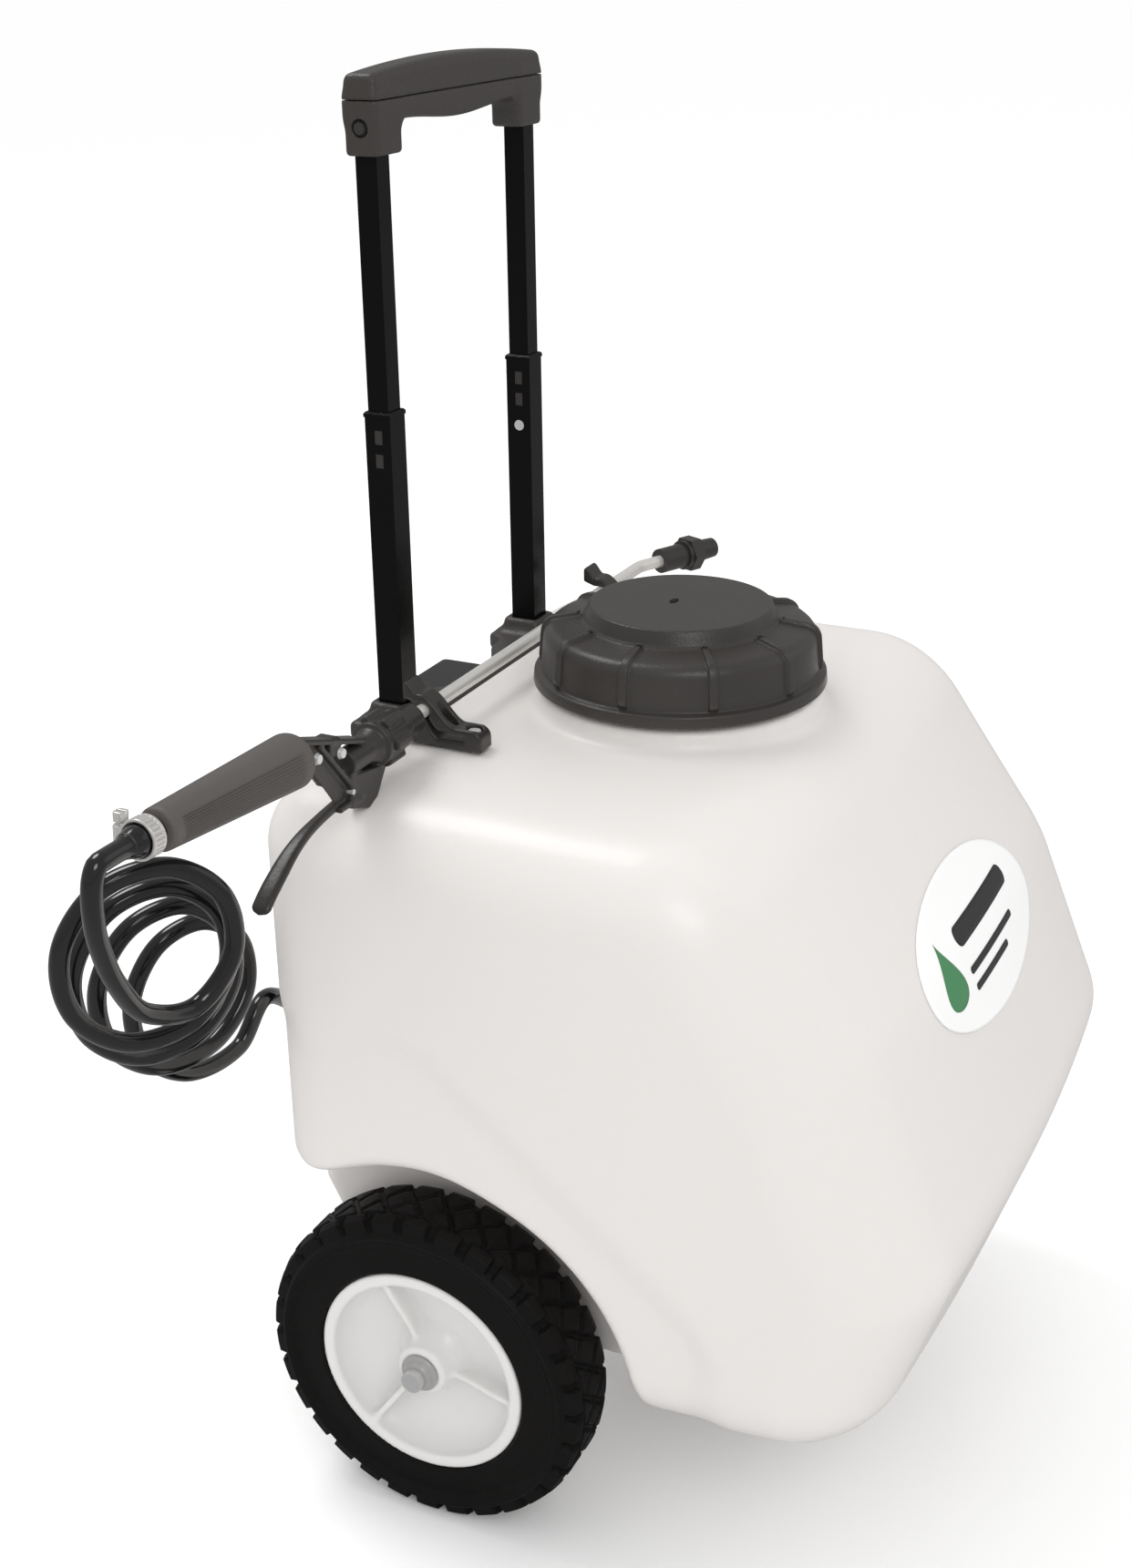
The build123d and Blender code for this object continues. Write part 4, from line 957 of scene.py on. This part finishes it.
def gun_form(x, y, z):
    """Valve body with a flared front, a recessed bracket web with raised edges, an eyelet and a beak."""
    v = y - WAND_Y
    across = np.sqrt(v ** 2 + (z - WAND_Z) ** 2)
    flare = 7.6 + 3.6 * smooth((x + 186) / 14)
    body = barrel(x, across - (flare - 8), -205, -172, 8, 1)
    body = join(body, barrel(x, across, -177, -172, 12.4, 1.2), 1.5)
    top = edge_side(x, z, (-252, 503), (-189, 481))
    front = edge_side(x, z, (-228, 490), (-196, 453))
    below = -edge_side(x, z, (-240, 484), (-214, 450))
    web = meet(meet(meet(top, front, 2), below, 6), np.abs(v) - 1.8, 0.5)
    web = meet(meet(web, -250 - x), 449 - z, 2)
    rail = meet(np.abs(top + 1.5) - 1.5, np.abs(v) - 5.5, 0.7)
    rail = meet(rail, np.abs(x + 221) - 31)
    edge = meet(np.abs(front + 1.4) - 1.4, np.abs(v) - 5.5, 0.7)
    edge = meet(edge, np.abs(z - 471) - 21, 0.5)
    foot = meet(meet(np.abs(z - 451) - 1.6, np.abs(v) - 5.5, 0.7), np.abs(x + 207) - 10)
    form = join(join(body, web, 2), join(join(rail, edge, 1.5), foot, 3), 1.2)
    beak = meet(edge_side(x, z, (-206, 466), (-176, 461)), edge_side(x, z, (-172, 456), (-183, 441)), 1.5)
    beak = meet(beak, -edge_side(x, z, (-210, 449), (-183, 439)), 1)
    beak = meet(meet(beak, -206 - x, 1), np.abs(v) - 5.2, 1.2)
    form = join(form, cut(beak, meet(np.sqrt((x + 193) ** 2 + (z - 456) ** 2) - 1.4, -v)), 1.5)
    eye = np.sqrt((x + 218) ** 2 + (z - 487) ** 2)
    form = join(form, meet(eye - 5.4, np.abs(v) - 5, 0.8), 1)
    form = cut(form, meet(eye - 2.7, -v - 1), 0.4)
    core = tapered_bar(x, y, z, (-246, WAND_Y, 491), (-383, WAND_Y, 500), 7.5, 6.0)
    form = join(form, core, 1)
    slot = brick(x, y, z, (-240, WAND_Y - 1.2, 440), (-197, WAND_Y + 8, 468), 0.3)
    return cut(form, slot, 0.4)


gun = carve("gun_frame", gun_form, (-384, WAND_Y - 12, 439), (-166, WAND_Y + 12, 508),
            step(0.8))
dress(gun, "spray_gun", NYLON, "gun_body")


def nut_form(x, y, z):
    """Compression nut with six lobes and a plain front collar."""
    v, w = y - WAND_Y, z - WAND_Z
    across = np.sqrt(v ** 2 + w ** 2)
    angle = np.arctan2(w, v)
    body = barrel(x, across, -172, -149, 11.4, 1.6)
    front = barrel(x, across, -152, -134, 8.8, 1)
    form = join(body, front, 1.5)
    sector = (angle + math.pi / 6) % (math.pi / 3) - math.pi / 6
    lobe = meet(np.abs(np.sin(sector)) * across - 2.9, across - 14.6, 1.2)
    lobe = meet(lobe, np.abs(x + 164) - 8, 1.2)
    form = join(form, meet(lobe, 6 - across), 1.8)
    return cut(form, across - 4.1, 0.4)


nut = carve("lobed_nut", nut_form, (-173, WAND_Y - 15, WAND_Z - 15), (-133, WAND_Y + 15, WAND_Z + 15),
            0.8)
dress(nut, "spray_gun", NYLON, "wand_nut")


LEVER_LINE = ((-202, 453), (-216, 452), (-230, 450.5), (-244, 448), (-257, 443.5), (-269, 437),
              (-280, 430), (-288.5, 423))          # x and z along the lever's middle


def trigger_piece():
    """The finger lever: a blade that widens towards its tip."""
    path = smooth_path([(x, WAND_Y, z) for x, z in LEVER_LINE], 1.2)
    tangent = np.gradient(path, axis=0)
    tangent /= np.linalg.norm(tangent, axis=1)[:, None]
    along = np.linspace(0, 1, len(path))
    columns = 28
    angle = circle_steps(columns)
    rows = []
    for p, t, s in zip(path, tangent, along):
        across = np.array([0, 1.0, 0])
        up = np.cross(t, across)
        wide = 2.9 + 2.4 * float(smooth((s - 0.25) / 0.6))
        thick = 2.4 - 0.3 * s
        end = math.sqrt(max(1 - max((s - 0.955) / 0.045, 0) ** 2, 0.02))
        c, d = np.cos(angle), np.sin(angle)
        square = (np.abs(c) ** 3 + np.abs(d) ** 3) ** (-1 / 3)
        sideways = (wide * end * c * square)[:, None] * across
        rows.append(p + sideways + (thick * end * d * square)[:, None] * up)
    points = np.concatenate(rows)
    faces = ring_faces(len(rows), columns)
    faces += end_faces(columns, len(points))
    piece = new_piece("finger_lever", points, faces)
    face_outwards(piece)
    return piece


dress(trigger_piece(), "trigger", NYLON, "trigger")

# ---------------------------------------------------------------- hose
HOSE_R = 5.0
COIL_R = 43.0
COIL_START = np.array([-355.0, 44.0, 442.0])
COIL_DRIFT = np.array([2.0, 12.0, -14.0])
COIL_PULL = np.array([7.0, 1.9, -3.5])
COIL_FACING, COIL_TWIST = -39.0, 5.0
FIRST_TURN, LAST_TURN = 0.575, 4.7
LEAD_IN = ((-1.2, 0, 0), (-6.6, 0.3, -1.2), (-9.8, 1.2, -10), (-8.8, 3, -25),
           (-3.6, 6, -42), (9, 9.5, -68), (31, 12.5, -95))
HOSE_SPLIT = np.array([-397.0, WAND_Y, 500.0])
PORT = np.array([-12.0, 116.5, 228.0])


def coil_point(turn):
    """A point on the coil, turn counted in whole rings from the top of the first one."""
    facing = math.radians(COIL_FACING + COIL_TWIST * turn)
    side = np.array([math.cos(facing), math.sin(facing), 0])
    middle = COIL_START + COIL_DRIFT * turn + COIL_PULL * turn ** 2
    angle = 2 * math.pi * turn
    return middle + np.array([0, 0, COIL_R]) * math.cos(angle) - side * (COIL_R * math.sin(angle))


def hose_path():
    """The hose's middle line: from the gun into the coil, then to the pump's port."""
    start = np.array([-366.0, WAND_Y, 498.8])
    lead = [start, start + (-14, 0, 0.8)] + [HOSE_SPLIT + offset for offset in LEAD_IN]
    steps = round((LAST_TURN - FIRST_TURN) * 8)
    rings = [coil_point(FIRST_TURN + i / 8) for i in range(steps + 1)]
    tail = [(-80, 152, 238), (-34, 146, 231), PORT + (0, 10, 0), PORT]
    return smooth_path(lead + rings + tail, 2.2)


def hose_piece():
    """The whole hose as one fixed tube, coiled as it rests; the real hose stretches from the tank to the
    gun when the gun is taken out.
    """
    path = hose_path()
    along = np.concatenate([[0], np.cumsum(np.linalg.norm(np.diff(path, axis=0), axis=1))])
    swell = HOSE_R + 3.0 * smooth((22 - along) / 14)
    points, faces = tube_along(path, swell, 20)
    piece = new_piece("coiled_hose", points, faces)
    face_outwards(piece)
    piece.data.materials.append(HOSE)
    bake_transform(piece)
    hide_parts("delivery_hose", "hose_gun_end")


hose_piece()

# ---------------------------------------------------------------- hose clamp
CLAMP_R, CLAMP_HALF = 9.2, 4.5
CLAMP_AXIS = (SLEEVE_END - SLEEVE_START) / np.linalg.norm(SLEEVE_END - SLEEVE_START)
CLAMP_AT = SLEEVE_END + CLAMP_AXIS * 9.5
CLAMP_SLOTS = 26


def clamp_form(x, y, z):
    """A slotted band, the arched housing over its thread, and the hex screw that pulls it tight."""
    off = [x - CLAMP_AT[0], y - CLAMP_AT[1], z - CLAMP_AT[2]]
    along = sum(part * way for part, way in zip(off, CLAMP_AXIS))
    out, up = off[1], off[2] - along * CLAMP_AXIS[2]
    across = np.hypot(out, up)
    band = meet(np.abs(across - CLAMP_R) - 0.8, np.abs(along) - CLAMP_HALF, 0.4)
    turn = (np.arctan2(up, out) / (2 * math.pi) * CLAMP_SLOTS) % 1 - 0.5
    slots = meet(np.abs(turn) * 2 * math.pi * CLAMP_R / CLAMP_SLOTS - 0.45, np.abs(along) - 2.8)
    band = cut(band, meet(slots, CLAMP_R - across), 0.2)
    from_screw = out - CLAMP_R - 2.4
    barrel_r = np.hypot(along, from_screw)
    housing = meet(barrel_r - 3.9, np.abs(up) - 4.5, 1)
    shank = meet(barrel_r - 2.2, np.abs(up + 6.5) - 3.5, 0.4)
    hexagon = np.maximum.reduce([np.abs(along * math.cos(t) + from_screw * math.sin(t))
                                 for t in (0, math.pi / 3, 2 * math.pi / 3)])
    head = meet(hexagon - 3.3, np.abs(up - 8.4) - 2.4, 0.5)
    head = cut(head, meet(np.abs(along) - 0.6, 9.6 - up))
    neck = meet(barrel_r - 2, np.abs(up - 5.2) - 1.5)
    form = join(join(band, housing, 0.8), join(shank, join(head, neck, 0.3), 0.3), 0.4)
    return cut(form, across - CLAMP_R + 0.7)


clamp = carve("worm_clamp", clamp_form, CLAMP_AT - (9, 12, 13), CLAMP_AT + (9, 18, 13),
              step(0.5))
dress(clamp, "spray_gun", CLAMP, "hose_clamp")

# ---------------------------------------------------------------- CAD nodes that stay
FINISHES = (
    (RUBBER_AND_VENT_SHADE, "lid_gasket leg_pad rocker_switch"),
    (STEEL, "axle"),
    (NYLON, "axle_saddles axle_spacers front_leg latch_keys upper_plugs grip_screws nozzle_body "
            "nozzle_nut nozzle_tip switch_housing suction_fitting suction_nut"),
    (ZINC, "saddle_screws leg_screws base_screws mid_screws clip_screws gun_screws trigger_pin "
           "valve_stem valve_spring bracket_screws"),
    (PAINT, "guide_tubes mid_tubes mid_collars upper_tubes pump_bracket pump_motor"),
    (ALUMINIUM, "wand_tube"),
    (PUMP, "pump_head"),
    # The battery's near-black is partly its own colour and partly painted shade under the base.
    (BATTERY_BLACK_AND_SHADE, "battery"),
    (STRAP, "battery_strap"),
    (MESHWORK, "pickup_strainer"),
    (HOSE, "suction_hose"),
    (WIRE, "wires"),
)
EDGE_SOFTENING = {
    "upper_tubes": 1.3, "mid_tubes": 1.6, "guide_tubes": 1.6, "mid_collars": 0.8, "nozzle_nut": 0.6,
    "nozzle_body": 0.6, "nozzle_tip": 0.8, "battery": 1.5, "pump_head": 1.5, "pump_motor": 1.0,
    "switch_housing": 1.0, "rocker_switch": 0.6, "front_leg": 1.0, "leg_pad": 1.2, "axle_saddles": 1.0,
}


def finish_cad_nodes():
    """Gives each CAD node that stays in view its material and softened edges."""
    for material, names in FINISHES:
        for name in names.split():
            frame["nodes"][name].data.materials.clear()
            frame["nodes"][name].data.materials.append(material)
    for name, width in EDGE_SOFTENING.items():
        bevel = frame["nodes"][name].modifiers.new("soft_edges", "BEVEL")
        bevel.width = width * MM
        bevel.segments = 3
        bevel.limit_method = "ANGLE"
        bevel.angle_limit = math.radians(35)


finish_cad_nodes()


# ---------------------------------------------------------------- floor, light and camera
FLOOR_HALF = 60.0
FLOOR_IN_REFLECTIONS = 0.3


def by_ray(nodes, links, seen, reflected):
    """A value that changes where a reflection looks at it."""
    ray = nodes.new("ShaderNodeLightPath")
    level = nodes.new("ShaderNodeMapRange")
    level.inputs["To Min"].default_value = seen
    level.inputs["To Max"].default_value = reflected
    links.new(ray.outputs["Is Glossy Ray"], level.inputs["Value"])
    return level.outputs["Result"]


def floor_material():
    """A pale matt floor that shows darker in reflections, as a dark studio would."""
    material = surface("pale_floor", (0.97, 0.97, 0.97), 0.8, mottle=0.005, specular=0.0)
    nodes, links = material.node_tree.nodes, material.node_tree.links
    shader = nodes["Principled BSDF"]
    shade = nodes.new("ShaderNodeVectorMath")
    shade.operation = "SCALE"
    links.new(shader.inputs["Base Color"].links[0].from_socket, shade.inputs[0])
    links.new(by_ray(nodes, links, 1.0, FLOOR_IN_REFLECTIONS), shade.inputs["Scale"])
    links.new(shade.outputs["Vector"], shader.inputs["Base Color"])
    return material


def floor():
    """The ground as one wide plane."""
    mesh = bpy.data.meshes.new("floor")
    s = FLOOR_HALF
    mesh.from_pydata([(-s, -s, 0), (s, -s, 0), (s, s, 0), (-s, s, 0)], [], [(0, 1, 2, 3)])
    mesh.materials.append(floor_material())
    in_scene("floor", mesh)


def area_light(name, place, size, power):
    """A round soft light aimed at the cart."""
    data = bpy.data.lights.new(name, "AREA")
    data.shape = "DISK"
    data.size = size
    data.energy = power
    light = in_scene(name, data)
    light.location = place
    light.rotation_euler = (Vector(LIGHT_TARGET) - Vector(place)).to_track_quat("-Z", "Y").to_euler()


SKY, SKY_IN_REFLECTIONS = 1.02, 0.35
LIGHTS = {                       # place, diameter (m) and power (W)
    "key": ((-2.2, -1.6, 2.6), 1.4, 20),
    "fill": ((1.8, -2.4, 1.8), 2.4, 4),
    "top": ((0.2, 1.6, 3.0), 1.4, 30),
}
LIGHT_TARGET = (0, 0.1, 0.3)


def world():
    """White all round, but dimmer in reflections so that dark parts stay dark."""
    sky = bpy.data.worlds.new("studio")
    sky.use_nodes = True
    nodes, links = sky.node_tree.nodes, sky.node_tree.links
    nodes["Background"].inputs["Color"].default_value = (1, 1, 1, 1)
    links.new(by_ray(nodes, links, SKY, SKY_IN_REFLECTIONS), nodes["Background"].inputs["Strength"])
    bpy.context.scene.world = sky


FOCAL = 47.41
AZIMUTH, ELEVATION, ROLL = math.radians(-63.72), math.radians(23.11), math.radians(-0.85)
CAMERA_MM = np.array([-1036.3, -505.2, 878.5])


def camera():
    """The view, from the left of the tank's front and above."""
    data = bpy.data.cameras.new("view")
    data.sensor_width = 36
    data.lens = FOCAL
    data.clip_start = 0.05
    back = Vector((math.sin(AZIMUTH) * math.cos(ELEVATION), -math.cos(AZIMUTH) * math.cos(ELEVATION),
                   math.sin(ELEVATION)))
    right = (-back).cross(Vector((0, 0, 1))).normalized()
    up = right.cross(-back)
    right, up = (right * math.cos(ROLL) + up * math.sin(ROLL),
                 up * math.cos(ROLL) - right * math.sin(ROLL))
    eye = in_scene("view", data)
    turn = Matrix((right, up, back)).transposed()
    eye.matrix_world = Matrix.Translation(Vector(to_row(CAMERA_MM))) @ turn.to_4x4()
    bpy.context.scene.camera = eye


floor()
world()
for lamp, (place, size, power) in LIGHTS.items():
    area_light(lamp, place, size, power)
camera()
bpy.context.scene.view_settings.view_transform = "Standard"
